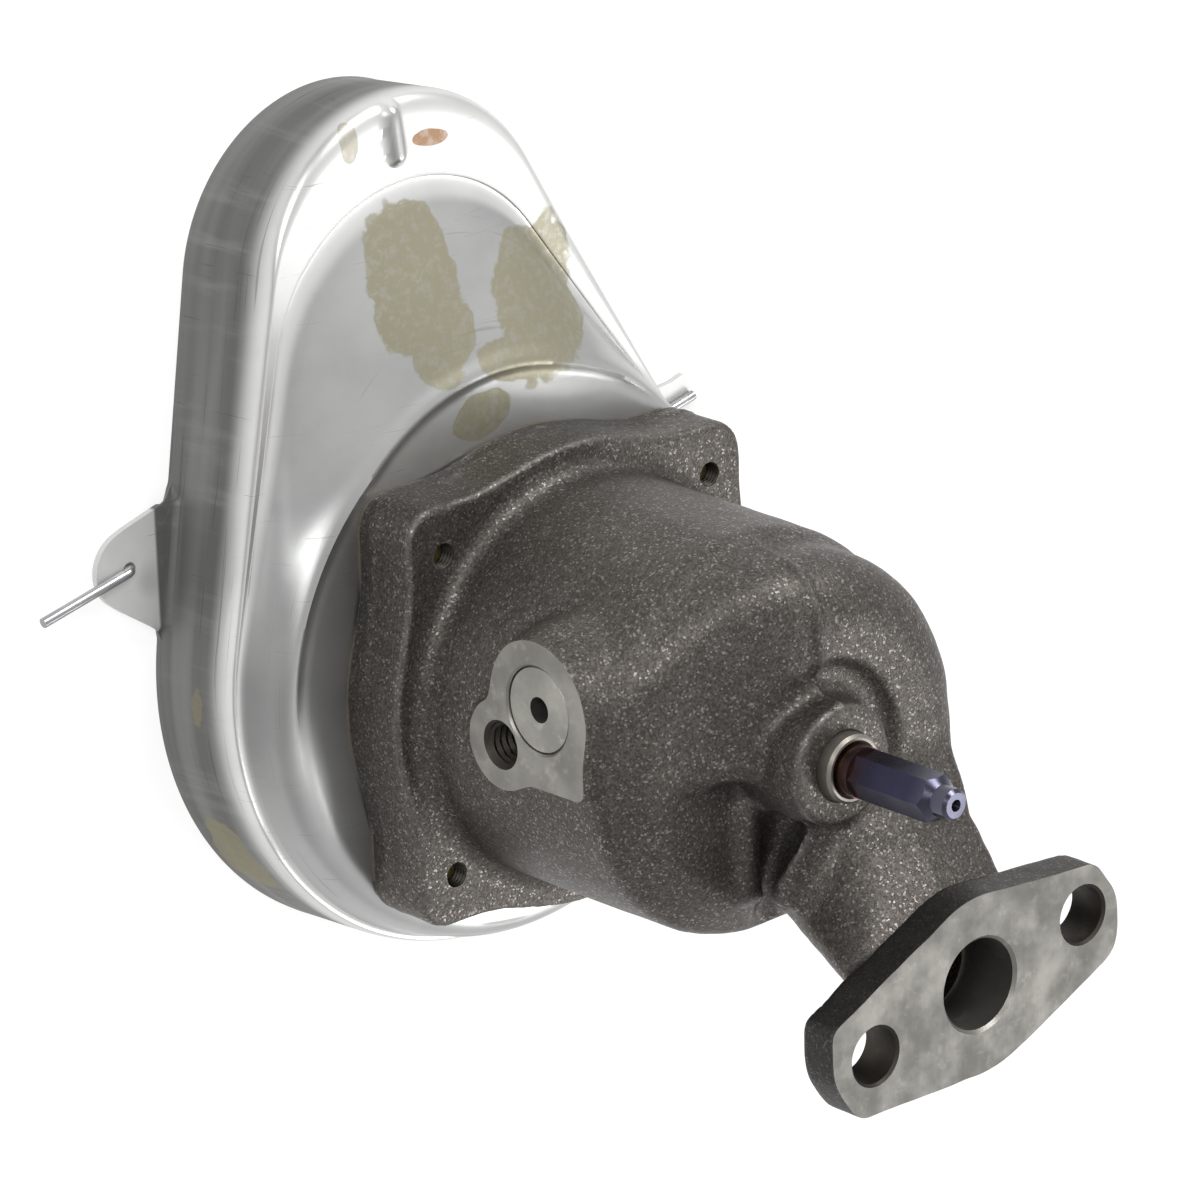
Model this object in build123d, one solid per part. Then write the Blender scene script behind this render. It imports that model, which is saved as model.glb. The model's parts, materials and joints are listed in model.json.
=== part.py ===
"""Shaft-driven rotor oil pump with a stamped pickup hood, as separate pieces.

Everything is built about the drive shaft: x = y = 0 on the shaft axis, z = 0 on the outlet
flange's mounting face, +Z towards the engine.  place() then moves each piece so that the
origin is the centre of the outlet port on the mounting face.  Sizes are in millimetres.
"""
import math
import os

from build123d import *

# ---- working values ------------------------------------------------------------------------
past = 1.0                    # how far a cut runs past the face that it opens
push_fit = 0.02               # radial gap of pieces that are pushed or screwed in

# ---- rotors -------------------------------------------------------------------------------
inner_lobes = 4
eccentricity = 3.2            # the outer rotor's axis lies this far from the shaft, along +Y
lobe_circle_r = 34.0          # circle of the outer rotor's lobe centres
lobe_r = 14.4
root_relief = 0.35            # extra depth at the outer rotor's roots
root_corner = 1.5
outer_rotor_wall = 4.65       # behind the roots
rotor_length = 24.9
rotor_end_gap = 0.05
rotor_side_gap = 0.06
rotor_mesh_gap = 0.06         # radial clearance between the two rotors' profiles
outer_root_r = lobe_circle_r - lobe_r + 2 * eccentricity + root_relief
outer_rotor_r = outer_root_r + outer_rotor_wall
pin_r = 1.6
pin_length = 17.0
pin_fit = 0.02
pin_chamfer = 0.25
pin_rise = 3.4                # pin centre above the rotor's lower face
slot_gap = 0.1

# ---- outlet flange and port --------------------------------------------------------------
port_x = 13.1                 # port centre from the shaft axis
port_y = -39.6
port_r = 8.5
port_chamfer = 0.6
mount_pcd = 52.5              # two mounting bolts on one circle about the port
mount_hole_r = 5.25
mount_angle = 13.0            # the bolt line, from +X
mount_chamfer = 0.5
outlet_flange_t = 8.0
outlet_waist_r = 17.1
outlet_right_end = [(7.6, -15.6), (32.6, -3.8), (34.3, -0.8), (34.3, 7.5), (28.9, 15.0), (0.0, 17.1)]
outlet_left_end = [(-8.3, 14.6), (-35.6, 1.4), (-35.9, -7.0), (-34.0, -11.6), (-29.4, -16.9), (0.0, -17.6)]
outlet_corner = 1.2
outlet_edge_break = 0.8

# ---- rotor flange and drum of the cast body ----------------------------------------------
drum_wall = 4.3               # at its thinnest, beside the offset rotor
drum_r = outer_rotor_r + eccentricity + drum_wall
joint_z = -103.0              # machined face that the hood and the cover seat on
rotor_flange_t = 13.6
rotor_flange_half = drum_r + 1.5
rotor_flange_corner = 6.5
rotor_flange_r = drum_r + 5.8
drum_draft = 0.8
drum_root_fillet = 4.2
drum_front_z = -37.0          # as-cast end of the drum
drum_slope_deep = 8.0         # the front slopes back to the side over this depth ...
drum_slope_wide = 11.0        # ... and this width
drum_slope_bulge = 1.3
cast_edge = 1.0

# ---- head over the bearing, with the relief barrel ----------------------------------------
head_front_z = -25.0
head_r = drum_r - 3.5
head_shift_x = 2.0
head_shoulder = 12.0
head_low_y = -3.3             # the head's underside on the barrel's side
head_low_x = -6.0             # the head runs on below the shaft from here ...
head_foot_y = -28.0           # ... to here
slope_end_x = -1.0            # the slope up from the barrel ends here
barrel_face_x = -drum_r - 0.5  # machined end face of the relief barrel
barrel_y = 11.3
barrel_z = -56.7
barrel_r = 11.7
barrel_front_z = barrel_z + barrel_r
barrel_block_deep = 18.0      # flat side below the barrel
cheek_end_x = -3.0            # the barrel widens into the head up to here
cheek_end_y = 8.0
cheek_end_z = -50.0
cheek_end_r = 24.0
bracket_y = 2.3               # boss beside the barrel with the tapped bracket hole
bracket_z = -67.0
bracket_boss_r = 8.4
bracket_hole_r = 3.3
bracket_hole_depth = 16.0
bracket_sink_r = 4.6

# ---- neck from the head to the outlet flange ----------------------------------------------
neck_root_z = -42.0
neck_root = [(32.5, 16.3), (8.0, 15.0), (0.4, -30.0), (6.0, -35.0), (20.0, -31.0), (32.5, -16.0)]
neck_end = [(31.3, -28.6), (6.0, -28.6), (-12.0, -34.0), (4.0, -53.5), (22.0, -53.5), (31.3, -46.0)]
neck_corner = 3.5

# ---- shaft, its boss and its bush ---------------------------------------------------------
shaft_r = 4.76                # 3/8 inch stock
shaft_fit = 0.03              # radial running clearance in the bush
shaft_hole_gap = 0.12         # radial gap in the casting
boss_r = 11.2
boss_face_z = -20.0
boss_edge = 1.2
bush_r = 6.35
bush_face_z = -17.2
bush_length = 26.0
bush_chamfer = 0.55
hex_across_flats = 7.94       # 5/16 inch
hex_start_z = -14.5
hex_end_z = 2.8
tip_r = 2.9
tip_start_z = 4.7
tip_z = 8.2
tip_chamfer = 0.6
centre_drill_r = 1.1
centre_drill_point_r = 0.3
centre_drill_depth = 2.2

# ---- oil ways in the body -----------------------------------------------------------------
kidney_outer_r = outer_root_r - 1.35
kidney_inner_r = kidney_outer_r - 7.5
kidney_half_angle = 60.0
kidney_depth = 7.0
riser_x = kidney_inner_r + 1.5  # outlet riser from the kidney
riser_y = 3.0
riser_r = 8.0
riser_top_z = -45.0
port_straight = 13.0          # straight length of the port behind the flange face

# ---- relief valve -------------------------------------------------------------------------
relief_bore_r = 7.0
relief_bore_depth = 30.5
relief_seat_r = 4.0
relief_seat_end_x = 15.0
relief_spill_x = -16.5
relief_spill_r = 3.0
plunger_fit = 0.03
plunger_length = 14.0
plunger_wall = 1.5
plunger_nose_t = 2.5
plunger_chamfer = 0.4
plug_r = 8.1
plug_t = 4.0
plug_recess = 0.5
plug_hole_r = 2.4
plug_chamfer = 0.35
spring_wire_r = 0.7
spring_r = 4.6
spring_turns = 7

# ---- cover, gasket, bolts -----------------------------------------------------------------
gasket_t = 0.5
sheet_t = 1.3
cover_half = rotor_flange_half - 2.0
cover_corner = 13.0
cover_t = 5.0
cover_pad_r = outer_rotor_r + 3.6
seal_groove_r = cover_pad_r - 1.4
seal_section_r = 0.9
bolt_x = rotor_flange_half - 8.0
bolt_y = rotor_flange_half - 9.5
bolt_r = 2.5
bolt_hole_r = 2.75
bolt_head_flats = 8.0
bolt_head_t = 3.6
bolt_chamfer = 0.5
bolt_tip_sink = 3.0           # the bolt ends this far below the flange's front face
washer_r = 4.6
washer_t = 1.2
washer_split = 0.8
washer_turn = 35.0

# ---- pickup hood --------------------------------------------------------------------------
rim_z = -133.0
shelf_z = -112.0
seat_r = rotor_flange_r + 10.9  # the hood's round end about the seat
rim_low = (-5.0, 3.0, seat_r + 4.4)  # each outline is the hull of two circles: x, y, radius
rim_high = (-20.0, 74.0, 34.0)
shelf_low = (-5.0, 3.0, seat_r + 3.4)
shelf_high = (-17.5, 77.0, 32.4)
crease_low = (-5.0, 3.0, seat_r + 1.9)
crease_high = (-17.2, 59.6, 33.4)
ridge_low = (-2.0, 1.0, seat_r)
ridge_high = (-4.0, 12.0, seat_r - 8.2)
ridge_bend = 4.0
shelf_bend = 4.5
hood_hole_r = cover_pad_r + 0.4
rib_from = (-20.8, 105.2)
rib_to = (-16.8, 96.4)
rib_r = 1.9
rib_rise = 1.6
rib_bend = 0.8
ear_y = 28.4
ear_left = (rim_low[0] - rim_low[2] - 7.0, ear_y)  # wire holes in the two ears
ear_right = (rim_low[0] + rim_low[2] + 2.6, ear_y)
ear_r = 7.6
ear_flare = 12.0              # radius from the ear into the rim
ear_run = 14.0                # how far the ear reaches in from its hole
ear_hole_r = 1.7

# ---- strainer and its wire ----------------------------------------------------------------
wire_r = 0.95
wire_left_end = (ear_left[0] - 20.4, ear_y - 4.8)
wire_right_end = (ear_right[0] + 6.3, ear_y + 1.6)
wire_bend = 1.2
wire_gap = 0.1                # between the wire and the strainer's frame
frame_fit = 0.25
frame_t = 1.0
frame_deep = 5.0
frame_seat = 7.0
frame_bar_wide = 8.0
screen_t = 0.8
screen_fit = 0.25

# ---- worked out ---------------------------------------------------------------------------
rotor_top_z = joint_z + rotor_end_gap + rotor_length
pocket_top_z = rotor_top_z + rotor_end_gap
flange_front_z = joint_z + rotor_flange_t
hood_top_z = joint_z - gasket_t
cover_top_z = hood_top_z - sheet_t
cover_low_z = cover_top_z - cover_t
wire_z = rim_z + wire_r
frame_z = wire_z + wire_r + wire_gap
ear_z = wire_z + wire_r + wire_gap
pocket_r = outer_rotor_r + rotor_side_gap
outer_axis = (0, eccentricity)


def place(solid):
    """Move a piece from the shaft's frame to the outlet port's frame."""
    return Pos(-port_x, -port_y, 0) * solid


def slab(sketch, low_z, high_z):
    """A prism of the sketch between two heights."""
    return extrude(Pos(0, 0, low_z) * sketch, amount=high_z - low_z)


def rod(x, y, low_z, high_z, radius):
    """An upright cylinder between two heights."""
    return slab(Pos(x, y) * Circle(radius), low_z, high_z)


def rod_x(start_x, end_x, y, z, radius):
    """A cylinder along X between two places."""
    return Plane((start_x, y, z), z_dir=(1, 0, 0)) * extrude(Circle(radius), amount=end_x - start_x)


def polar(radius, degrees, centre=(0, 0)):
    """The point at a radius and an angle about a centre."""
    angle = math.radians(degrees)
    return (centre[0] + radius * math.cos(angle), centre[1] + radius * math.sin(angle))


# ---- outlines ------------------------------------------------------------------------------
def two_circle_outline(low, high, inset=0.0):
    """The hull of two circles, each (x, y, radius), pulled in by an inset."""
    low_c, high_c = (low[0], low[1]), (high[0], high[1])
    low_r, high_r = low[2] - inset, high[2] - inset
    axis = math.degrees(math.atan2(high[1] - low[1], high[0] - low[0]))
    spread = math.degrees(math.acos((low_r - high_r) / math.dist(low_c, high_c)))
    right, left = axis - spread, axis + spread
    far = [polar(high_r, angle, high_c) for angle in (right, axis, left)]
    near = [polar(low_r, angle, low_c) for angle in (left, axis + 180, right)]
    edges = [ThreePointArc(*far), Line(far[2], near[0]), ThreePointArc(*near), Line(near[2], far[0])]
    return make_face(Wire(edges))


def outlet_flange_outline():
    """The two-bolt flange: a round waist with a cut-off end each side."""
    ends = make_face(Polyline(outlet_right_end + outlet_left_end, close=True))
    tips = [v for v in ends.vertices() if abs(v.X) > outlet_waist_r]
    return Pos(port_x, port_y) * (fillet(tips, outlet_corner) + Circle(outlet_waist_r))


def rotor_flange_outline():
    """A rounded square joined with a circle about the shaft."""
    side = 2 * rotor_flange_half
    return RectangleRounded(side, side, rotor_flange_corner) + Circle(rotor_flange_r)


def kidney_outline(middle):
    """A crescent oil port about the rotors' middle, centred on an angle."""
    centre = (0, eccentricity / 2)
    reach = 2 * kidney_outer_r
    wedge = Polyline(
        centre,
        polar(reach, middle - kidney_half_angle, centre),
        polar(reach, middle, centre),
        polar(reach, middle + kidney_half_angle, centre),
        close=True,
    )
    ring = Pos(*centre) * (Circle(kidney_outer_r) - Circle(kidney_inner_r))
    return ring & make_face(wedge)


# ---- cast body -------------------------------------------------------------------------------
def bolt_places():
    """The four cover bolts' places."""
    return [(sx * bolt_x, sy * bolt_y) for sx in (-1, 1) for sy in (-1, 1)]


def mount_places():
    """The two mounting holes' places."""
    return [polar(mount_pcd / 2, mount_angle + turn, (port_x, port_y)) for turn in (0, 180)]


def drum():
    """The round rotor housing, with a filleted root at its flange and a rounded front."""
    root = drum_r + drum_root_fillet
    front_r = drum_r - drum_draft
    shoulder_z = drum_front_z - drum_slope_deep
    root_z = flange_front_z + drum_root_fillet
    bulge = math.sqrt(0.5)
    middle = (
        front_r - drum_slope_wide / 2 + drum_slope_bulge * bulge,
        drum_front_z - drum_slope_deep / 2 + drum_slope_bulge * bulge,
    )
    outline = Wire([
        Line((0, flange_front_z - past), (root, flange_front_z - past)),
        Line((root, flange_front_z - past), (root, flange_front_z)),
        ThreePointArc(
            (root, flange_front_z),
            (root - drum_root_fillet * bulge, root_z - drum_root_fillet * bulge),
            (drum_r, root_z),
        ),
        Line((drum_r, root_z), (front_r, shoulder_z)),
        ThreePointArc((front_r, shoulder_z), middle, (front_r - drum_slope_wide, drum_front_z)),
        Line((front_r - drum_slope_wide, drum_front_z), (0, drum_front_z)),
        Line((0, drum_front_z), (0, flange_front_z - past)),
    ])
    return revolve(Plane.XZ * make_face(outline), Axis.Z)


def head_dome():
    """The domed front over the bearing, cut to its sector and sloped down to the barrel."""
    low_z = barrel_z - barrel_r
    dome = rod(head_shift_x, 0, low_z, head_front_z, head_r)
    dome = fillet(dome.edges().sort_by(Axis.Z)[-1:], head_shoulder)
    reach = 2 * drum_r
    sector = Polyline(
        (-reach, head_low_y), (head_low_x, head_low_y), (head_low_x, head_foot_y),
        (reach, head_foot_y), (reach, reach), (-reach, reach), close=True,
    )
    dome = dome & slab(make_face(sector), low_z, head_front_z)
    slope = (head_front_z - barrel_front_z) / (slope_end_x - barrel_face_x)
    out_x = barrel_face_x - past
    over = Polyline(
        (out_x, barrel_front_z - past * slope),
        (slope_end_x, head_front_z),
        (slope_end_x, past),
        (out_x, past),
        close=True,
    )
    wedge = extrude(Plane.XZ * make_face(over), amount=reach, both=True)
    return dome - wedge


def cheek():
    """The barrel's outer shape, widening into the head."""
    low = Plane((barrel_face_x, barrel_y, barrel_z), z_dir=(1, 0, 0)) * Circle(barrel_r)
    high = Plane((cheek_end_x, cheek_end_y, cheek_end_z), z_dir=(1, 0, 0)) * Circle(cheek_end_r)
    reach = 2 * drum_r
    above = Pos(0, head_low_y + reach / 2, barrel_z) * Box(2 * reach, reach, 2 * reach)
    return loft([low, high], ruled=True) & above


def barrel():
    """The relief barrel's end with the boss of the bracket hole beside it."""
    block_high = barrel_y - head_low_y
    middle = (barrel_face_x / 2, (barrel_y + head_low_y) / 2, barrel_front_z - barrel_block_deep / 2)
    block = Pos(*middle) * Box(-barrel_face_x, block_high, barrel_block_deep)
    tube = rod_x(barrel_face_x, 0, barrel_y, barrel_z, barrel_r)
    boss = rod_x(barrel_face_x, 0, bracket_y, bracket_z, bracket_boss_r)
    return tube + boss + block + cheek()


def neck():
    """The passage's outer shape, from the head down to the back of the outlet flange."""
    root = make_face(Polyline(neck_root, close=True))
    end = make_face(Polyline(neck_end, close=True))
    solid = loft([Pos(0, 0, neck_root_z) * root, Pos(0, 0, -outlet_flange_t) * end], ruled=True)
    sides = [e for e in solid.edges() if abs(e.tangent_at(0.5).Z) > 0.1]
    return fillet(sides, neck_corner)


def body_casting():
    """The casting before it is machined."""
    flange = slab(rotor_flange_outline(), joint_z, flange_front_z)
    flange = fillet(flange.edges().group_by(Axis.Z)[-1], cast_edge)
    outlet = slab(outlet_flange_outline(), -outlet_flange_t, 0)
    outlet = chamfer(outlet.edges().group_by(Axis.Z)[0], outlet_edge_break)
    boss = rod(0, 0, drum_front_z - past, boss_face_z, boss_r)
    boss = fillet(boss.edges().sort_by(Axis.Z)[-1:], boss_edge)
    return flange + drum() + head_dome() + barrel() + neck() + boss + outlet


def rotor_space():
    """The rotor pocket and the crescent ports above it."""
    pocket = rod(*outer_axis, joint_z, pocket_top_z, pocket_r)
    ports = slab(kidney_outline(0) + kidney_outline(180), pocket_top_z - past, pocket_top_z + kidney_depth)
    return pocket + ports


def shaft_space():
    """The shaft's hole, with the bush's seat at its outer end."""
    hole = rod(0, 0, pocket_top_z - past, boss_face_z + past, shaft_r + shaft_hole_gap)
    seat = rod(0, 0, bush_face_z - bush_length, boss_face_z + past, bush_r)
    return hole + seat


def outlet_space():
    """The way from the outlet crescent up and across to the port."""
    bend = Vector(port_x, port_y, -port_straight)
    start = Vector(riser_x, riser_y, riser_top_z)
    run = bend - start
    riser = rod(riser_x, riser_y, pocket_top_z + kidney_depth - past, riser_top_z, riser_r)
    cross = Plane(start, z_dir=run) * extrude(Circle(riser_r), amount=run.length)
    mouth = rod(port_x, port_y, -port_straight, past, port_r)
    ends = Pos(*start) * Sphere(riser_r) + Pos(*bend) * Sphere(port_r)
    chamfer_cone = Pos(port_x, port_y, -port_chamfer / 2) * Cone(
        port_r, port_r + port_chamfer, port_chamfer)
    return riser + cross + mouth + ends + chamfer_cone


def relief_space():
    """The relief valve's stepped bore, its feed and its spill hole."""
    bore_end = barrel_face_x + relief_bore_depth
    bore = rod_x(barrel_face_x - past, bore_end, barrel_y, barrel_z, relief_bore_r)
    seat = rod_x(barrel_face_x - past, barrel_face_x + plug_recess + plug_t, barrel_y, barrel_z, plug_r)
    feed = rod_x(bore_end - past, relief_seat_end_x, barrel_y, barrel_z, relief_seat_r)
    spill = rod(relief_spill_x, barrel_y, pocket_top_z + kidney_depth - past, barrel_z, relief_spill_r)
    return bore + seat + feed + spill


def fastener_holes():
    """Mounting holes, tapped cover holes and the tapped bracket hole."""
    holes = [rod(x, y, -outlet_flange_t - past, past, mount_hole_r) for x, y in mount_places()]
    holes += [
        Pos(x, y, -mount_chamfer / 2) * Cone(mount_hole_r, mount_hole_r + mount_chamfer, mount_chamfer)
        for x, y in mount_places()
    ]
    bolt_top_z = flange_front_z + drum_root_fillet + past
    holes += [rod(x, y, joint_z - past, bolt_top_z, bolt_r) for x, y in bolt_places()]
    tapped = rod_x(
        barrel_face_x - past, barrel_face_x + bracket_hole_depth, bracket_y, bracket_z, bracket_hole_r)
    sink_deep = bracket_sink_r - bracket_hole_r
    sink = Plane((barrel_face_x + sink_deep / 2, bracket_y, bracket_z), z_dir=(-1, 0, 0)) * Cone(
        bracket_hole_r, bracket_sink_r, sink_deep)
    return holes + [tapped, sink]


def pump_body():
    """The cast-iron body with every machined space taken out."""
    body = body_casting() - rotor_space() - shaft_space() - outlet_space() - relief_space()
    return body - fastener_holes()


# ---- shaft and rotors --------------------------------------------------------------------------
def shaft_bush():
    """The plain bush pressed into the boss, standing a little proud of it."""
    bush = rod(0, 0, bush_face_z - bush_length, bush_face_z, bush_r)
    bore = rod(0, 0, bush_face_z - bush_length - past, bush_face_z + past, shaft_r + shaft_fit)
    bush = bush - bore
    return chamfer(bush.edges().group_by(Axis.Z)[-1], bush_chamfer)


def pin_z():
    """The height of the rotor pin's axis."""
    return joint_z + rotor_end_gap + pin_rise


def drive_shaft():
    """The round shaft with a hexagon and a centred pilot tip at its driven end."""
    low_z = joint_z + 2 * rotor_end_gap
    hexagon = RegularPolygon(hex_across_flats / 2, 6, major_radius=False)
    body = rod(0, 0, low_z, hex_start_z, shaft_r)
    drive = slab(hexagon, hex_start_z - past, tip_start_z)
    cone_tall = tip_start_z - hex_end_z
    top_cone = Pos(0, 0, hex_end_z + cone_tall / 2) * Cone(shaft_r, tip_r, cone_tall)
    drive = drive & (rod(0, 0, hex_start_z - past, hex_end_z, shaft_r) + top_cone)
    tip = rod(0, 0, tip_start_z - past, tip_z, tip_r)
    tip = chamfer(tip.edges().sort_by(Axis.Z)[-1:], tip_chamfer)
    drill = Pos(0, 0, tip_z - centre_drill_depth / 2) * Cone(
        centre_drill_point_r, centre_drill_r, centre_drill_depth)
    pin_hole = Pos(0, 0, pin_z()) * Rot(0, 90, 0) * Cylinder(pin_r + pin_fit, 4 * shaft_r)
    return body + drive + tip - drill - pin_hole


def rotor_pin():
    """The cross pin that drives the inner rotor."""
    pin = Pos(0, 0, pin_z()) * Rot(0, 90, 0) * Cylinder(pin_r, pin_length)
    return chamfer(pin.edges().filter_by(GeomType.CIRCLE), pin_chamfer)


def inner_profile(angle):
    """A point of the inner rotor: the lobe centre's path, pulled in by the lobe radius.

    In the inner rotor's own frame a lobe centre runs on
    R (cos a, sin a) + e (cos(n a), sin(n a)), with n = inner_lobes + 1.
    """
    n = inner_lobes + 1
    x = lobe_circle_r * math.cos(angle) + eccentricity * math.cos(n * angle)
    y = lobe_circle_r * math.sin(angle) + eccentricity * math.sin(n * angle)
    dx = -lobe_circle_r * math.sin(angle) - n * eccentricity * math.sin(n * angle)
    dy = lobe_circle_r * math.cos(angle) + n * eccentricity * math.cos(n * angle)
    inward = (lobe_r + rotor_mesh_gap) / math.hypot(dx, dy)
    return (x - dy * inward, y + dx * inward)


def inner_rotor():
    """The driven rotor, with a slot for its pin across the lower face."""
    steps = 12 * inner_lobes
    points = [inner_profile(2 * math.pi * k / steps) for k in range(steps)]
    profile = make_face(Spline(points, periodic=True))
    low_z = joint_z + rotor_end_gap
    rotor = slab(Rot(0, 0, 90) * profile, low_z, rotor_top_z)
    rotor -= rod(0, 0, low_z - past, rotor_top_z + past, shaft_r + push_fit)
    slot_wide = 2 * (pin_r + slot_gap)
    slot_tall = pin_rise + pin_r + slot_gap
    slot = Pos(0, 0, low_z + (slot_tall - past) / 2) * Box(
        pin_length + 2 * slot_gap, slot_wide, slot_tall + past)
    return rotor - slot


def outer_rotor():
    """The idler ring: round outside, one more lobe than the inner rotor inside."""
    count = inner_lobes + 1
    space = Circle(outer_root_r)
    for k in range(count):
        lobe_centre = polar(lobe_circle_r, 360 * k / count + 90)
        space -= Pos(*lobe_centre) * Circle(lobe_r)
    space = fillet(space.vertices(), root_corner)
    ring = Pos(*outer_axis) * (Circle(outer_rotor_r) - space)
    return slab(ring, joint_z + rotor_end_gap, rotor_top_z)


# ---- relief valve --------------------------------------------------------------------------------
def plunger_nose_x():
    """Where the plunger's nose rests on the seat."""
    return barrel_face_x + relief_bore_depth


def relief_plunger():
    """The hollow plunger, open towards the spring."""
    nose_x = plunger_nose_x()
    outer = rod_x(nose_x - plunger_length, nose_x, barrel_y, barrel_z, relief_bore_r - plunger_fit)
    outer = chamfer(outer.edges().filter_by(GeomType.CIRCLE), plunger_chamfer)
    inner_r = relief_bore_r - plunger_fit - plunger_wall
    inner = rod_x(nose_x - plunger_length - past, nose_x - plunger_nose_t, barrel_y, barrel_z, inner_r)
    return outer - inner


def relief_plug():
    """The plain plug in the barrel's mouth, with a vent hole."""
    face_x = barrel_face_x + plug_recess
    plug = rod_x(face_x, face_x + plug_t, barrel_y, barrel_z, plug_r - push_fit)
    plug = chamfer(plug.edges().filter_by(GeomType.CIRCLE), plug_chamfer)
    return plug - rod_x(face_x - past, face_x + plug_t + past, barrel_y, barrel_z, plug_hole_r)


def relief_spring():
    """The coil spring between the plug and the plunger."""
    start_x = barrel_face_x + plug_recess + plug_t + spring_wire_r
    end_x = plunger_nose_x() - plunger_nose_t - spring_wire_r
    span = end_x - start_x
    coil = Helix(pitch=span / spring_turns, height=span, radius=spring_r)
    section = Plane(coil @ 0, z_dir=coil % 0) * Circle(spring_wire_r)
    spring = sweep(section, path=coil, is_frenet=True)
    return Plane((start_x, barrel_y, barrel_z), z_dir=(1, 0, 0)) * spring


# ---- cover, gasket, seal and bolts ---------------------------------------------------------------
def cover_plate():
    """The rotor cover: a square plate whose round pad reaches up through the hood."""
    side = 2 * cover_half
    plate = slab(RectangleRounded(side, side, cover_corner), cover_low_z, cover_top_z)
    plate += rod(*outer_axis, cover_top_z, joint_z, cover_pad_r)
    plate -= slab(kidney_outline(180), cover_low_z - past, joint_z + past)
    groove = Circle(seal_groove_r + seal_section_r) - Circle(seal_groove_r - seal_section_r)
    plate -= slab(Pos(*outer_axis) * groove, joint_z - 2 * seal_section_r, joint_z + past)
    low_z, high_z = cover_low_z - past, cover_top_z + past
    return plate - [rod(x, y, low_z, high_z, bolt_hole_r) for x, y in bolt_places()]


def cover_seal():
    """The rubber ring in the cover pad's groove."""
    radius = seal_section_r - push_fit
    return Pos(*outer_axis, joint_z - seal_section_r) * Torus(seal_groove_r, radius)


def hood_gasket():
    """The paper gasket between the body and the hood."""
    sheet = rotor_flange_outline() - Pos(*outer_axis) * Circle(hood_hole_r)
    for x, y in bolt_places():
        sheet -= Pos(x, y) * Circle(bolt_hole_r)
    return slab(sheet & two_circle_outline(ridge_low, ridge_high, ridge_bend), hood_top_z, joint_z)


def bolt_seat_z():
    """The height of the bolt heads' upper faces."""
    return cover_low_z - washer_t


def cover_bolt(x, y):
    """One hexagon-headed bolt, head down."""
    head = RegularPolygon(bolt_head_flats / 2, 6, major_radius=False)
    solid = slab(Pos(x, y) * head, bolt_seat_z() - bolt_head_t, bolt_seat_z())
    shank = rod(x, y, bolt_seat_z(), flange_front_z - bolt_tip_sink, bolt_r - push_fit)
    return solid + chamfer(shank.edges().sort_by(Axis.Z)[-1:], bolt_chamfer)


def bolt_washer(x, y):
    """One split spring washer."""
    ring = Circle(washer_r) - Circle(bolt_hole_r)
    split = Pos(washer_r / 2, 0) * Rectangle(washer_r, washer_split)
    return slab(Pos(x, y) * (ring - Rot(0, 0, washer_turn) * split), bolt_seat_z(), cover_low_z)


# ---- pickup hood -----------------------------------------------------------------------------------
def hood_form(inset, bend_less):
    """The hood's solid form: a low drafted box with a tower over the rotor end.

    The inside is the same form pulled in and down by the sheet's thickness, with each bend
    radius less by the same amount.
    """
    base_z = rim_z if inset == 0 else rim_z - past
    rim = Pos(0, 0, base_z) * two_circle_outline(rim_low, rim_high, inset)
    shelf = Pos(0, 0, shelf_z - inset) * two_circle_outline(shelf_low, shelf_high, inset)
    low = loft([rim, shelf], ruled=True)
    low = fillet(low.edges().group_by(Axis.Z)[-1], shelf_bend - bend_less)
    crease = Pos(0, 0, shelf_z - inset - 2 * past) * two_circle_outline(crease_low, crease_high, inset)
    crease_top = Pos(0, 0, shelf_z - inset) * two_circle_outline(crease_low, crease_high, inset)
    ridge = Pos(0, 0, hood_top_z - inset) * two_circle_outline(ridge_low, ridge_high, inset)
    tower = loft([crease_top, ridge], ruled=True)
    tower = fillet(tower.edges().group_by(Axis.Z)[-1], ridge_bend - bend_less)
    return low + tower + loft([crease, crease_top], ruled=True)


def hood_rib(inset):
    """The small raised rib near the hood's far end."""
    middle = ((rib_from[0] + rib_to[0]) / 2, (rib_from[1] + rib_to[1]) / 2)
    lean = math.degrees(math.atan2(rib_to[1] - rib_from[1], rib_to[0] - rib_from[0]))
    length = math.dist(rib_from, rib_to) + 2 * (rib_r - inset)
    slot = Pos(*middle) * Rot(0, 0, lean) * SlotOverall(length, 2 * (rib_r - inset))
    rib = slab(slot, shelf_z - inset - past, shelf_z + rib_rise - inset)
    return fillet(rib.edges().group_by(Axis.Z)[-1], rib_bend * (rib_r - inset) / rib_r)


def ear_tab(hole, side):
    """One ear's round end about the wire hole, with its run in to the rim."""
    run = Pos(hole[0] - side * ear_run / 2, hole[1]) * Rectangle(ear_run, 2 * ear_r)
    return run + Pos(*hole) * Circle(ear_r)


def ear_corners(sheet):
    """The upright edges where the ears' straight sides meet the rim."""
    upright = sheet.edges().filter_by(Axis.Z)
    sides = [e for e in upright if math.isclose(abs(e.center().Y - ear_y), ear_r, abs_tol=0.01)]
    return [e for e in sides if ear_left[0] + past < e.center().X < ear_right[0] - past]


def wall_circles(height):
    """The two circles the hood's side wall is drawn round at a height."""
    share = (height - rim_z) / (shelf_z - rim_z)
    low = [a + share * (b - a) for a, b in zip(rim_low, shelf_low)]
    high = [a + share * (b - a) for a, b in zip(rim_high, shelf_high)]
    return low, high


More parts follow.
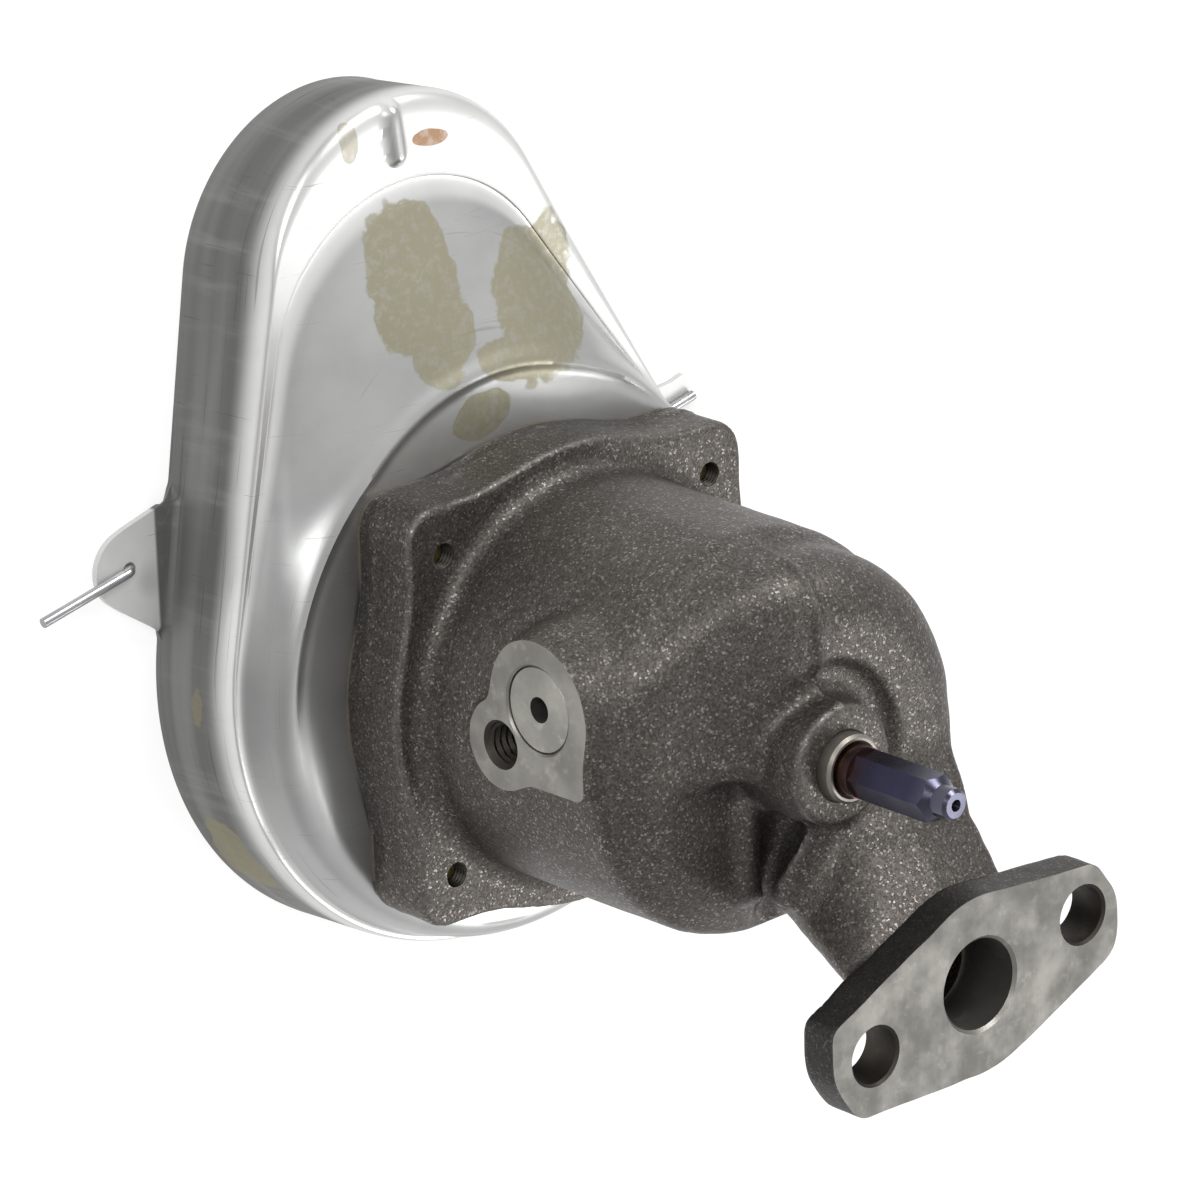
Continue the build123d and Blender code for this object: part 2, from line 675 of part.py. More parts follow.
def hood_ears():
    """Both ears, flat, raised by one wire's thickness above the rim and flared into it."""
    top_z = ear_z + sheet_t
    low, high = wall_circles(top_z)
    seat = two_circle_outline(low, high, sheet_t / 4)
    sheet = slab(seat + ear_tab(ear_left, -1) + ear_tab(ear_right, 1), ear_z, top_z)
    sheet = fillet(ear_corners(sheet), ear_flare)
    sheet -= slab(two_circle_outline(low, high, 3 * sheet_t / 4), ear_z - past, top_z + past)
    return sheet - [rod(x, y, ear_z - past, top_z + past, ear_hole_r) for x, y in (ear_left, ear_right)]


def pickup_hood():
    """The stamped hood: shell, rib and ears, notched where the wire passes."""
    hood = hood_form(0, 0) + hood_rib(0)
    hood -= hood_form(sheet_t, sheet_t)
    hood -= hood_rib(sheet_t)
    hood += hood_ears()
    hood -= rod(*outer_axis, cover_top_z - past, hood_top_z + past, hood_hole_r)
    hood -= [rod(x, y, cover_top_z - past, hood_top_z + past, bolt_hole_r) for x, y in bolt_places()]
    middle = ((ear_left[0] + ear_right[0]) / 2, ear_left[1])
    notch = Pos(*middle, rim_z) * Box(
        ear_right[0] - ear_left[0] + 2 * ear_hole_r, 3 * wire_r, 2 * (ear_z - rim_z))
    return hood - notch


# ---- strainer ----------------------------------------------------------------------------------------
def wall_outline(height, inset):
    """The hood's side wall at a height, pulled in from its outside by an inset."""
    return Pos(0, 0, height) * two_circle_outline(*wall_circles(height), inset)


def wall_plug(low_z, high_z, inset):
    """The space inside the hood's wall between two heights, pulled in by an inset."""
    return loft([wall_outline(low_z, inset), wall_outline(high_z, inset)], ruled=True)


def strainer_frame():
    """The pressed tray that carries the screen, with a bar across for the wire to bear on."""
    top_z = frame_z + frame_deep
    outer_inset = sheet_t + frame_fit
    tray = wall_plug(frame_z, top_z, outer_inset)
    tray -= wall_plug(frame_z + frame_t, top_z + past, outer_inset + frame_t)
    window = extrude(wall_outline(frame_z - past, outer_inset + frame_seat), amount=frame_t + 2 * past)
    bar_length = ear_right[0] - ear_left[0]
    bar = Pos((ear_left[0] + ear_right[0]) / 2, ear_left[1]) * Rectangle(bar_length, frame_bar_wide)
    return tray - (window - slab(bar, frame_z - 2 * past, top_z))


def strainer_screen():
    """The woven screen, as one sheet of the weave's overall thickness."""
    top_z = frame_z + frame_t + screen_t
    outline = wall_outline(top_z, sheet_t + frame_fit + frame_t + screen_fit)
    return extrude(outline, amount=-screen_t)


def strainer_clip():
    """The spring-steel wire across the mouth, up through both ears and out."""
    top_z = ear_z + sheet_t + wire_r
    points = [
        (*wire_left_end, top_z), (*ear_left, top_z), (*ear_left, wire_z),
        (*ear_right, wire_z), (*ear_right, top_z), (*wire_right_end, top_z),
    ]
    path = FilletPolyline(*points, radius=[wire_bend] * (len(points) - 2))
    section = Plane(path @ 0, z_dir=path % 0) * Circle(wire_r)
    return sweep(section, path=path)


# ---- files ---------------------------------------------------------------------------------------------
def pieces():
    """Every node's name and solid."""
    return {
        "pump_body": pump_body(),
        "shaft_bush": shaft_bush(),
        "drive_shaft": drive_shaft(),
        "rotor_pin": rotor_pin(),
        "inner_rotor": inner_rotor(),
        "outer_rotor": outer_rotor(),
        "relief_plunger": relief_plunger(),
        "relief_spring": relief_spring(),
        "relief_plug": relief_plug(),
        "cover_plate": cover_plate(),
        "cover_seal": cover_seal(),
        "hood_gasket": hood_gasket(),
        "cover_bolts": Compound([cover_bolt(x, y) for x, y in bolt_places()]),
        "bolt_washers": Compound([bolt_washer(x, y) for x, y in bolt_places()]),
        "pickup_hood": pickup_hood(),
        "strainer_frame": strainer_frame(),
        "strainer_screen": strainer_screen(),
        "strainer_clip": strainer_clip(),
    }


def main():
    """Write one STEP file for each node."""
    os.makedirs("parts", exist_ok=True)
    for name, solid in pieces().items():
        export_step(place(solid), f"parts/{name}.step")


if __name__ == "__main__":
    main()
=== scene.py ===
"""A rotor oil pump with its pickup hood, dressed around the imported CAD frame.

Lengths in the classes are millimetres about the drive shaft's axis, with z = 0 on the outlet
flange's face, as in the part's source.  row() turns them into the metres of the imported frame.
"""

import json
import logging
import math
from dataclasses import dataclass
from enum import Enum, IntEnum
from functools import reduce

import bmesh
import bpy
import numpy as np
from mathutils import Matrix, Vector

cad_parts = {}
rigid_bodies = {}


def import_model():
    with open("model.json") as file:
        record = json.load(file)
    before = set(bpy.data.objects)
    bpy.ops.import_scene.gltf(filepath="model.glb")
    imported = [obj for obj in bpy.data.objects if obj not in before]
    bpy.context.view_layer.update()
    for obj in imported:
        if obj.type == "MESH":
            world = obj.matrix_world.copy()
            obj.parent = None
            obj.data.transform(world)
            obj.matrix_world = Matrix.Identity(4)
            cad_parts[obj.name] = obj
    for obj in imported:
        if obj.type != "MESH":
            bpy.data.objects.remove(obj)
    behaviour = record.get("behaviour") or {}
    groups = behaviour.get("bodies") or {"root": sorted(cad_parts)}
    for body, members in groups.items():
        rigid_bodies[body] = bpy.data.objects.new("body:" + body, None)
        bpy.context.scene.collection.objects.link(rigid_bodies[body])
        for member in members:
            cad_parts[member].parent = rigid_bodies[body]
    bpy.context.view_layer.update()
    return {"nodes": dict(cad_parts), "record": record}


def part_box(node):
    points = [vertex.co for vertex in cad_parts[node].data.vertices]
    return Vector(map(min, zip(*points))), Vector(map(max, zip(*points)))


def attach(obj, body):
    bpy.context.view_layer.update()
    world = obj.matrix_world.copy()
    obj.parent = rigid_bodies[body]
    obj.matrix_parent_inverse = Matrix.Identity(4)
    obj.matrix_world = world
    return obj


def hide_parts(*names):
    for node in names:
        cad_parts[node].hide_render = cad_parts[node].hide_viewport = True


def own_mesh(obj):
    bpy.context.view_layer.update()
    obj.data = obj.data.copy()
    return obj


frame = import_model()

Array = np.ndarray
Shape = tuple[Array, Array]
Socket = bpy.types.NodeSocket
Materials = dict[str, bpy.types.Material]
LOG = logging.getLogger("oil_pump")
MM = 0.001

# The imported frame's origin, and the four cover bolts, in shaft-frame millimetres.
PORT = np.array((13.1, -39.6, 0.0))
BOLTS = [(x, y) for x in (-32.0, 32.0) for y in (-30.5, 30.5)]


def row(points: Array) -> Array:
    """Shaft-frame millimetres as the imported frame's metres."""
    return (np.asarray(points, float) - PORT) * MM


# ---------------------------------------------------------------- meshes from arrays
def mesh_object(name: str, points: Array, faces: Array, finishes: list,
                slots: Array | None = None) -> bpy.types.Object:
    """Make an object at the origin from points and faces of one kind.

    Args:
        name: The piece's name.
        points: Rows of x, y, z in shaft-frame millimetres.
        faces: Rows of three or four point numbers, counter-clockwise from outside.
        finishes: Materials for the object's slots.
        slots: A slot number for each face, or None for the first slot.

    Returns:
        The new object, shaded smooth.
    """
    mesh = bpy.data.meshes.new(name)
    count, sides = faces.shape
    mesh.vertices.add(len(points))
    mesh.vertices.foreach_set("co", row(points).astype(np.float32).ravel())
    mesh.loops.add(count * sides)
    mesh.loops.foreach_set("vertex_index", faces.astype(np.int32).ravel())
    mesh.polygons.add(count)
    mesh.polygons.foreach_set("loop_start", np.arange(0, count * sides, sides, dtype=np.int32))
    if slots is not None:
        mesh.polygons.foreach_set("material_index", slots.astype(np.int32))
    mesh.update(calc_edges=True)
    mesh.validate()
    mesh.shade_smooth()
    for finish in finishes:
        mesh.materials.append(finish)
    thing = bpy.data.objects.new(name, mesh)
    bpy.context.scene.collection.objects.link(thing)
    return thing


def ring_faces(rows: int, columns: int) -> Array:
    """Quads over a grid of points numbered row by row, whose last column joins the first.

    Args:
        rows: Number of rows.
        columns: Number of columns.

    Returns:
        Rows of four point numbers.
    """
    r = np.arange(rows - 1)[:, None]
    c = np.arange(columns)[None, :]
    c2 = (c + 1) % columns
    quads = [r * columns + c, r * columns + c2, (r + 1) * columns + c2, (r + 1) * columns + c]
    return np.stack([q.ravel() for q in quads], axis=1)


def turned(profile: Array, origin: Array, axis: Array, steps: int = 64, wave=None) -> Shape:
    """A closed turned solid: a profile of (radius, height) carried round an axis.

    A point is origin + height * axis + radius * (cos t * side + sin t * over), and the first and
    last rows have a radius of zero, so that the poles close.

    Args:
        profile: Rows of radius and height, first and last radius zero.
        origin: A point on the axis.
        axis: The direction that heights run along.
        steps: Points round the axis.
        wave: What height and angle add to the radius, or None.

    Returns:
        Points and triangles.
    """
    axis = np.asarray(axis, float) / np.linalg.norm(axis)
    side = np.cross(axis, (0.0, 0.0, 1.0) if abs(axis[2]) < 0.9 else (1.0, 0.0, 0.0))
    side /= np.linalg.norm(side)
    over = np.cross(axis, side)
    angle = np.linspace(0, 2 * np.pi, steps, endpoint=False)
    ring = np.cos(angle)[:, None] * side + np.sin(angle)[:, None] * over
    profile = np.asarray(profile, float)
    body = profile[1:-1]
    radius = np.repeat(body[:, :1], steps, axis=1)
    if wave is not None:
        radius = radius + wave(body[:, 1:], angle[None, :])
    points = origin + body[:, 1, None, None] * axis + radius[:, :, None] * ring
    quads = ring_faces(len(body), steps)
    faces = np.concatenate([quads[:, (0, 1, 2)], quads[:, (0, 2, 3)]])
    low, high = len(body) * steps, len(body) * steps + 1
    k = np.arange(steps)
    k2 = (k + 1) % steps
    last = (len(body) - 1) * steps
    caps = [np.stack([np.full(steps, low), k2, k], 1),
            np.stack([np.full(steps, high), last + k, last + k2], 1)]
    poles = origin + profile[[0, -1], 1, None] * axis
    return np.concatenate([points.reshape(-1, 3), poles]), np.concatenate([faces, *caps])


def stepped_cutter(steps: list, at: tuple, axis: tuple = (0, 0, 1)) -> Shape:
    """A round cutter whose radius changes along its axis.

    Args:
        steps: Rows of radius and height, all the way from one end to the other.
        at: A point on the axis, with z = 0 where it is left out.
        axis: Its direction.

    Returns:
        Points and triangles that face outwards.
    """
    rising = steps if steps[0][1] < steps[-1][1] else steps[::-1]
    profile = [(0, rising[0][1]), *rising, (0, rising[-1][1])]
    return turned(np.array(profile, float), np.array((*at, 0.0)[:3], float), np.array(axis, float))


def rod_cutter(radius: float, low: float, high: float, at: tuple, axis: tuple = (0, 0, 1)) -> Shape:
    """A plain round cutter between two heights along an axis."""
    return stepped_cutter([(radius, low), (radius, high)], at, axis)


def threaded_cutter(minor: float, major: float, pitch: float, span: tuple, at: tuple, axis: tuple,
                    mouth: float) -> Shape:
    """A tapped hole's cutter: radius = minor + (major - minor) * tri(height / pitch - angle / 2 pi).

    Args:
        minor: Radius at the crests of the hole's thread.
        major: Radius at its roots.
        pitch: The thread's pitch.
        span: The two heights of the thread, the open end last.
        at: A point on the axis.
        axis: The direction that heights run along.
        mouth: The countersink's radius at the open end.

    Returns:
        Points and triangles that face outwards.
    """
    low, high = min(span), max(span)
    heights = np.linspace(low, high, int((high - low) / pitch * 8) + 2)
    profile = np.array([(0, low), *[(minor, h) for h in heights], (0, high)])

    def wave(height: Array, angle: Array) -> Array:
        phase = (height / pitch - angle / (2 * np.pi)) % 1.0
        thread = (major - minor) * np.clip(1.3 - 2.6 * np.abs(phase - 0.5), 0, 1)
        sink = np.maximum(mouth - minor - np.abs(height - span[1]) + 1.5, 0)
        return np.maximum(thread, sink)

    return turned(profile, np.array(at, float), np.array(axis, float), 48, wave)


def block_cutter(low: tuple, high: tuple) -> Shape:
    """A box cutter between two corners."""
    xs, ys, zs = zip(low, high)
    corners = np.array([(x, y, z) for z in zs for y in ys for x in xs])
    quads = np.array([(0, 2, 3, 1), (4, 5, 7, 6), (0, 1, 5, 4), (2, 6, 7, 3), (0, 4, 6, 2), (1, 3, 7, 5)])
    return corners.astype(float), np.concatenate([quads[:, (0, 1, 2)], quads[:, (0, 2, 3)]])


def carve(thing: bpy.types.Object, cutters: list, finishes: list, slot: int) -> None:
    """Cut closed shapes out of a piece, and keep the result in its mesh.

    Args:
        thing: The piece.
        cutters: Pairs of points and triangles.
        finishes: The piece's materials, which the cutters share.
        slot: The slot number of the cut faces.
    """
    made = []
    for number, (points, faces) in enumerate(cutters):
        tool = mesh_object(f"tool_{number}", points, faces, finishes, np.full(len(faces), slot))
        made.append(tool)
        step = thing.modifiers.new(f"cut_{number}", "BOOLEAN")
        step.operation, step.solver, step.object = "DIFFERENCE", "MANIFOLD", tool
    freeze(thing)
    for tool in made:
        mesh = tool.data
        bpy.data.objects.remove(tool)
        bpy.data.meshes.remove(mesh)


def freeze(thing: bpy.types.Object) -> None:
    """Put the result of a piece's modifiers into its own mesh."""
    bpy.context.view_layer.update()
    seen = thing.evaluated_get(bpy.context.evaluated_depsgraph_get())
    mesh = bpy.data.meshes.new_from_object(seen)
    old = thing.data
    thing.modifiers.clear()
    thing.data = mesh
    bpy.data.meshes.remove(old)


def merge_doubles(thing: bpy.types.Object) -> None:
    """Join the points of a piece that lie on each other, as at a closed pole."""
    shape = bmesh.new()
    shape.from_mesh(thing.data)
    bmesh.ops.remove_doubles(shape, verts=shape.verts, dist=1e-7)
    shape.to_mesh(thing.data)
    shape.free()


def crease_shading(thing: bpy.types.Object, degrees: float) -> None:
    """Smooth shading that breaks at edges sharper than an angle."""
    thing.data.shade_smooth()
    thing.data.set_sharp_from_angle(angle=math.radians(degrees))


# ---------------------------------------------------------------- distance fields
def eased(share: Array) -> Array:
    """A smooth step t^2 (3 - 2t) from 0 to 1, with t the share kept between them."""
    t = np.clip(share, 0, 1)
    return t ** 2 * (3 - 2 * t)


def smooth_union(a: Array, b: Array, blend: float) -> Array:
    """The lower of two distances, with a fillet about as wide as the blend."""
    h = np.clip(0.5 + 0.5 * (b - a) / blend, 0.0, 1.0)
    return b + (a - b) * h - blend * h * (1 - h)


def smooth_cut(a: Array, b: Array, blend: float) -> Array:
    """The higher of two distances, with its edge rounded by the blend."""
    return -smooth_union(-a, -b, blend)


def rounded_box_2d(x: Array, y: Array, half_x: float, half_y: float, corner: float) -> Array:
    """Distance to a rounded rectangle about the origin."""
    qx, qy = np.abs(x) - half_x + corner, np.abs(y) - half_y + corner
    return np.hypot(np.maximum(qx, 0), np.maximum(qy, 0)) + np.minimum(np.maximum(qx, qy), 0) - corner


def between(flat: Array, z: Array, low: float, high: float, edge: float) -> Array:
    """A flat shape's distance carried between two heights, with rounded edges."""
    tall = np.abs(z - (low + high) / 2) - (high - low) / 2
    a, b = flat + edge, tall + edge
    return np.hypot(np.maximum(a, 0), np.maximum(b, 0)) + np.minimum(np.maximum(a, b), 0) - edge


def capsule(p: tuple, start: tuple, end: tuple, radius: float) -> Array:
    """Distance to a round-ended rod between two points."""
    a, run = np.array(start, float), np.array(end, float) - np.array(start, float)
    rel = [p[i] - a[i] for i in range(3)]
    share = np.clip(sum(rel[i] * run[i] for i in range(3)) / (run @ run), 0, 1)
    return np.sqrt(sum((rel[i] - share * run[i]) ** 2 for i in range(3))) - radius


def convex_2d(x: Array, y: Array, corners: Array, blend: float) -> Array:
    """Distance to a convex polygon as the smooth highest of its sides' distances.

    Args:
        x: First coordinates.
        y: Second coordinates.
        corners: Rows of two coordinates, anticlockwise or clockwise, each a number or an array like x.
        blend: How far each corner is rounded.

    Returns:
        The distance, negative inside.
    """
    following = np.roll(corners, -1, axis=0)
    turn = np.sign(np.sum(corners[:, 0] * following[:, 1] - following[:, 0] * corners[:, 1]))
    result = None
    for (ax, ay), (bx, by) in zip(corners, following):
        side = ((x - ax) * (by - ay) - (y - ay) * (bx - ax)) / np.hypot(bx - ax, by - ay) * turn
        result = side if result is None else smooth_cut(result, side, blend)
    return result


def ripple(x: Array, y: Array, z: Array, scale: float, seed: int) -> Array:
    """Gentle unevenness of a sand mould: a sum of nine plane sine waves, from -1 to 1."""
    rng = np.random.default_rng(seed)
    total = np.zeros(x.shape)
    for _ in range(9):
        d = rng.normal(size=3)
        d *= 2 * np.pi / (np.linalg.norm(d) * scale * rng.uniform(0.6, 1.6))
        total += np.sin(d[0] * x + d[1] * y + d[2] * z + rng.uniform(0, 2 * np.pi))
    return total / 5.0


def skin_of(distance, low: tuple, high: tuple, pitch: float) -> Shape:
    """The zero surface of a distance function, as quads of a surface net.

    Each grid cell that the surface crosses gets one point, the mean of the crossings on its
    edges, moved once along the distance's slope onto the surface.  Each crossed grid edge
    gives one quad between the four cells around it.

    Args:
        distance: A function of x, y, z arrays that is negative inside.
        low: The grid's lowest corner.
        high: The grid's highest corner.
        pitch: The grid's spacing.

    Returns:
        Points and quads.
    """
    axes = [np.arange(a, b + pitch, pitch) for a, b in zip(low, high)]
    x, y, z = np.meshgrid(*axes, indexing="ij")
    value = distance(x, y, z)
    inside = value < 0
    cells = tuple(n - 1 for n in value.shape)
    total = np.zeros((*cells, 3))
    count = np.zeros(cells, np.int32)
    edges = []
    for a in range(3):
        b, c = (a + 1) % 3, (a + 2) % 3
        first = [slice(None)] * 3
        second = [slice(None)] * 3
        first[a], second[a] = slice(0, -1), slice(1, None)
        v0, v1 = value[tuple(first)], value[tuple(second)]
        crossed = inside[tuple(first)] != inside[tuple(second)]
        i = np.argwhere(crossed)
        share = v0[crossed] / (v0[crossed] - v1[crossed])
        place = i.astype(float)
        place[:, a] += share
        for db in (0, 1):
            for dc in (0, 1):
                j = i.copy()
                j[:, b] -= db
                j[:, c] -= dc
                good = (j[:, b] >= 0) & (j[:, c] >= 0) & (j[:, b] < cells[b]) & (j[:, c] < cells[c])
                index = tuple(j[good].T)
                np.add.at(total, index, place[good])
                np.add.at(count, index, 1)
        edges.append((i, inside[tuple(first)][crossed], a, b, c))
    used = count > 0
    number = np.full(cells, -1, np.int64)
    number[used] = np.arange(used.sum())
    points = total[used] / count[used][:, None] * pitch + np.array(low)
    faces = []
    for i, solid_first, a, b, c in edges:
        inner = (i[:, b] > 0) & (i[:, c] > 0) & (i[:, b] < cells[b]) & (i[:, c] < cells[c])
        i, solid_first = i[inner], solid_first[inner]
        ring = []
        for db, dc in ((1, 1), (0, 1), (0, 0), (1, 0)):
            j = i.copy()
            j[:, b] -= db
            j[:, c] -= dc
            ring.append(number[tuple(j.T)])
        quad = np.stack(ring, axis=1)
        quad[~solid_first] = quad[~solid_first][:, ::-1]
        faces.append(quad)
    step = pitch * 0.25
    p = [points[:, k] for k in range(3)]
    here = distance(*p)
    ahead = [distance(*[p[m] + (step if m == k else 0) for m in range(3)]) for k in range(3)]
    slope = np.stack([(there - here) / step for there in ahead], 1)
    move = np.clip(here / np.maximum((slope ** 2).sum(1), 0.2), -pitch / 2, pitch / 2)
    return points - slope * move[:, None], np.concatenate(faces)


# ---------------------------------------------------------------- shader nodes
class Tree:
    """A short way to add nodes and links to one node tree."""

    def __init__(self, tree: bpy.types.NodeTree) -> None:
        """Keep the tree."""
        self.tree = tree

    def feed(self, socket: Socket, value) -> None:
        """Link an input to the socket that feeds it, or set it to a value."""
        if isinstance(value, Socket):
            self.tree.links.new(value, socket)
        else:
            socket.default_value = value

    def node(self, kind: str, values: dict | None = None, **settings) -> bpy.types.Node:
        """Add a node, set its properties and its inputs.

        Args:
            kind: Blender's name of the node type.
            values: Input name or number to a value or to a socket that feeds it.
            settings: Properties of the node.

        Returns:
            The node.
        """
        made = self.tree.nodes.new(kind)
        for name, value in settings.items():
            setattr(made, name, value)
        for name, value in (values or {}).items():
            self.feed(made.inputs[name], value)
        return made

    def math(self, operation: str, a, b=0.0) -> Socket:
        """One sum of two values."""
        return self.node("ShaderNodeMath", {0: a, 1: b}, operation=operation).outputs[0]

    def plus(self, a, b) -> Socket:
        """The total of two values."""
        return self.math("ADD", a, b)

    def times(self, a, b) -> Socket:
        """The product of two values."""
        return self.math("MULTIPLY", a, b)

    def vectors(self, operation: str, a, b=None) -> bpy.types.Node:
        """A node that works on one vector, or on two."""
        return self.node("ShaderNodeVectorMath", {0: a} if b is None else {0: a, 1: b}, operation=operation)

    def fit(self, value, low: float, high: float, to_low: float = 0.0, to_high: float = 1.0) -> Socket:
        """Map a range onto another with a smooth step."""
        values = {"Value": value, "From Min": low, "From Max": high, "To Min": to_low, "To Max": to_high}
        return self.node("ShaderNodeMapRange", values, interpolation_type="SMOOTHSTEP").outputs["Result"]

    def noise(self, vector, scale: float, detail: float = 3.0, rough: float = 0.55) -> Socket:
        """Noise from about 0 to 1."""
        values = {"Vector": vector, "Scale": scale, "Detail": detail, "Roughness": rough}
        return self.node("ShaderNodeTexNoise", values).outputs["Fac"]

    def stretched(self, vector, scale: tuple, turn: tuple = (0.0, 0.0, 0.0)) -> Socket:
        """The coordinates turned and scaled along each axis."""
        return self.node("ShaderNodeMapping", {"Vector": vector, "Scale": scale, "Rotation": turn}).outputs[0]

    def axis(self, vector, number: int) -> Socket:
        """One coordinate of a place."""
        return self.node("ShaderNodeSeparateXYZ", {0: vector}).outputs[number]

    def mix(self, share, a, b) -> Socket:
        """Mix two colours, each a socket or three values."""
        made = self.node("ShaderNodeMix", data_type="RGBA")
        for number, value in ((0, share), (6, a), (7, b)):
            self.feed(made.inputs[number], (*value, 1.0) if isinstance(value, tuple) else value)
        return made.outputs[2]

    def bump(self, shader: bpy.types.Node, height: Socket, strength: float, distance: float) -> None:
        """Let a height in metres bend a shader's normal."""
        made = self.node("ShaderNodeBump", {"Height": height, "Strength": strength, "Distance": distance})
        self.feed(shader.inputs["Normal"], made.outputs[0])

    def spot(self, vector, centre: tuple, reach: tuple, turn: float = 0.0) -> Socket:
        """How far a place lies from a centre, 1 at the reach along each axis.

        Args:
            vector: Object coordinates.
            centre: The centre in shaft-frame millimetres.
            reach: Half sizes in millimetres.
            turn: The spot's turn about z, in degrees.

        Returns:
            The distance.
        """
        middle = tuple(float(v) for v in row(np.array(centre)))
        scale = tuple(1.0 / (r * MM) for r in reach)
        moved = self.vectors("SUBTRACT", vector, middle).outputs[0]
        values = {"Vector": moved, "Angle": math.radians(-turn)}
        turned_in = self.node("ShaderNodeVectorRotate", values).outputs[0]
        scaled = self.vectors("MULTIPLY", turned_in, scale).outputs[0]
        return self.vectors("LENGTH", scaled).outputs["Value"]


def new_group(name: str, inputs: dict,
              outputs: tuple) -> tuple[bpy.types.NodeTree, Tree, dict, bpy.types.Node]:
    """Start a shader node group.

    Args:
        name: The group's name.
        inputs: Input name to default value, or to None for a vector.
        outputs: The names of its outputs, all values.

    Returns:
        The group, its builder, its inputs by name, and its output node.
    """
    group = bpy.data.node_groups.new(name, "ShaderNodeTree")
    for key, value in inputs.items():
        kind = "NodeSocketVector" if value is None else "NodeSocketFloat"
        socket = group.interface.new_socket(key, in_out="INPUT", socket_type=kind)
        if value is not None:
            socket.default_value = value
    for key in outputs:
        group.interface.new_socket(key, in_out="OUTPUT", socket_type="NodeSocketFloat")
    tree = Tree(group)
    start = tree.node("NodeGroupInput")
    return group, tree, {key: start.outputs[key] for key in inputs}, tree.node("NodeGroupOutput")


class Effects:
    """Shader node groups that several finishes share."""

    def __init__(self) -> None:
        """Build each group once."""
        self.grain = self._grain()
        # Painted highlight on edges and painted shade in hollows.
        self.edge_light_hollow_shade = self._edge_light_hollow_shade()
        self.lines = self._lines()

    @staticmethod
    def _grain() -> bpy.types.NodeTree:
        """Blasted sand-cast grain: height, a fine shade, glints and a broad mottle."""
        names = ("Height", "Shade", "Glint", "Mottle")
        group, tree, given, out = new_group("cast_grain", {"Vector": None, "Size": 2800.0}, names)
        place, size = given["Vector"], given["Size"]
        fine = tree.noise(place, size, 2.0, 0.6)
        broad = tree.noise(place, tree.times(size, 0.3), 2.0, 0.5)
        height = tree.plus(fine, tree.times(broad, 0.7))
        cells = tree.node("ShaderNodeTexVoronoi", {"Vector": place, "Scale": size}).outputs["Color"]
        parts = tree.node("ShaderNodeSeparateColor", {0: cells})
        shade = tree.plus(tree.times(parts.outputs[1], 0.45), tree.times(fine, 0.55))
        results = (height, shade, tree.fit(parts.outputs[0], 0.86, 1.0), tree.noise(place, 70.0, 4.0, 0.6))
        for name, result in zip(names, results):
            tree.feed(out.inputs[name], result)
        return group

    @staticmethod
    def _edge_light_hollow_shade() -> bpy.types.NodeTree:
        """Painted highlight on edges and painted shade in hollows, from how the surface bends."""
        group, tree, given, out = new_group("painted_edge_light_hollow_shade", {"Low": 0.52, "High": 0.62}, ("EdgeHighlight", "HollowShade"))
        point = tree.node("ShaderNodeNewGeometry").outputs["Pointiness"]
        values = {"Value": point, "From Min": given["Low"], "From Max": given["High"]}
        tree.feed(out.inputs["EdgeHighlight"], tree.node("ShaderNodeMapRange", values).outputs[0])
        tree.feed(out.inputs["HollowShade"], tree.fit(point, 0.5, 0.4))
        return group

    @staticmethod
    def _lines() -> bpy.types.NodeTree:
        """Fine lines across one axis, as a tool or a roll leaves them."""
        inputs = {"Vector": None, "Across": 2500.0, "Along": 30.0}
        group, tree, given, out = new_group("tool_lines", inputs, ("Lines",))
        scale = tree.node("ShaderNodeCombineXYZ", {0: given["Across"], 1: given["Along"], 2: given["Along"]})
        moved = tree.vectors("MULTIPLY", given["Vector"], scale.outputs[0])
        tree.feed(out.inputs["Lines"], tree.noise(moved.outputs[0], 1.0, 3.0, 0.7))
        return group


# ---------------------------------------------------------------- finishes
def shader_of(owner: bpy.types.ID, kind: str) -> bpy.types.Node:
    """Turn on the nodes of a material or a world, and find its node of one type."""
    owner.use_nodes = True
    return next(node for node in owner.node_tree.nodes if node.type == kind)


@dataclass(frozen=True)
class Finish:
    """What every finish has: a name, and how much of it is metal."""

    name: str
    METAL = 0.0

    def dress(self, tree: Tree, shader: bpy.types.Node, place: Socket, effects: Effects) -> None:
        """Add the finish's own nodes.

        Args:
            tree: The material's nodes.
            shader: Its shader.
            place: Its Object coordinates.
            effects: The shared node groups.
        """

    def make(self, effects: Effects) -> bpy.types.Material:
        """Make the material."""
        made = bpy.data.materials.new(self.name)
        shader = shader_of(made, "BSDF_PRINCIPLED")
        shader.inputs["Metallic"].default_value = self.METAL
        tree = Tree(made.node_tree)
        self.dress(tree, shader, tree.node("ShaderNodeTexCoord").outputs["Object"], effects)
        return made


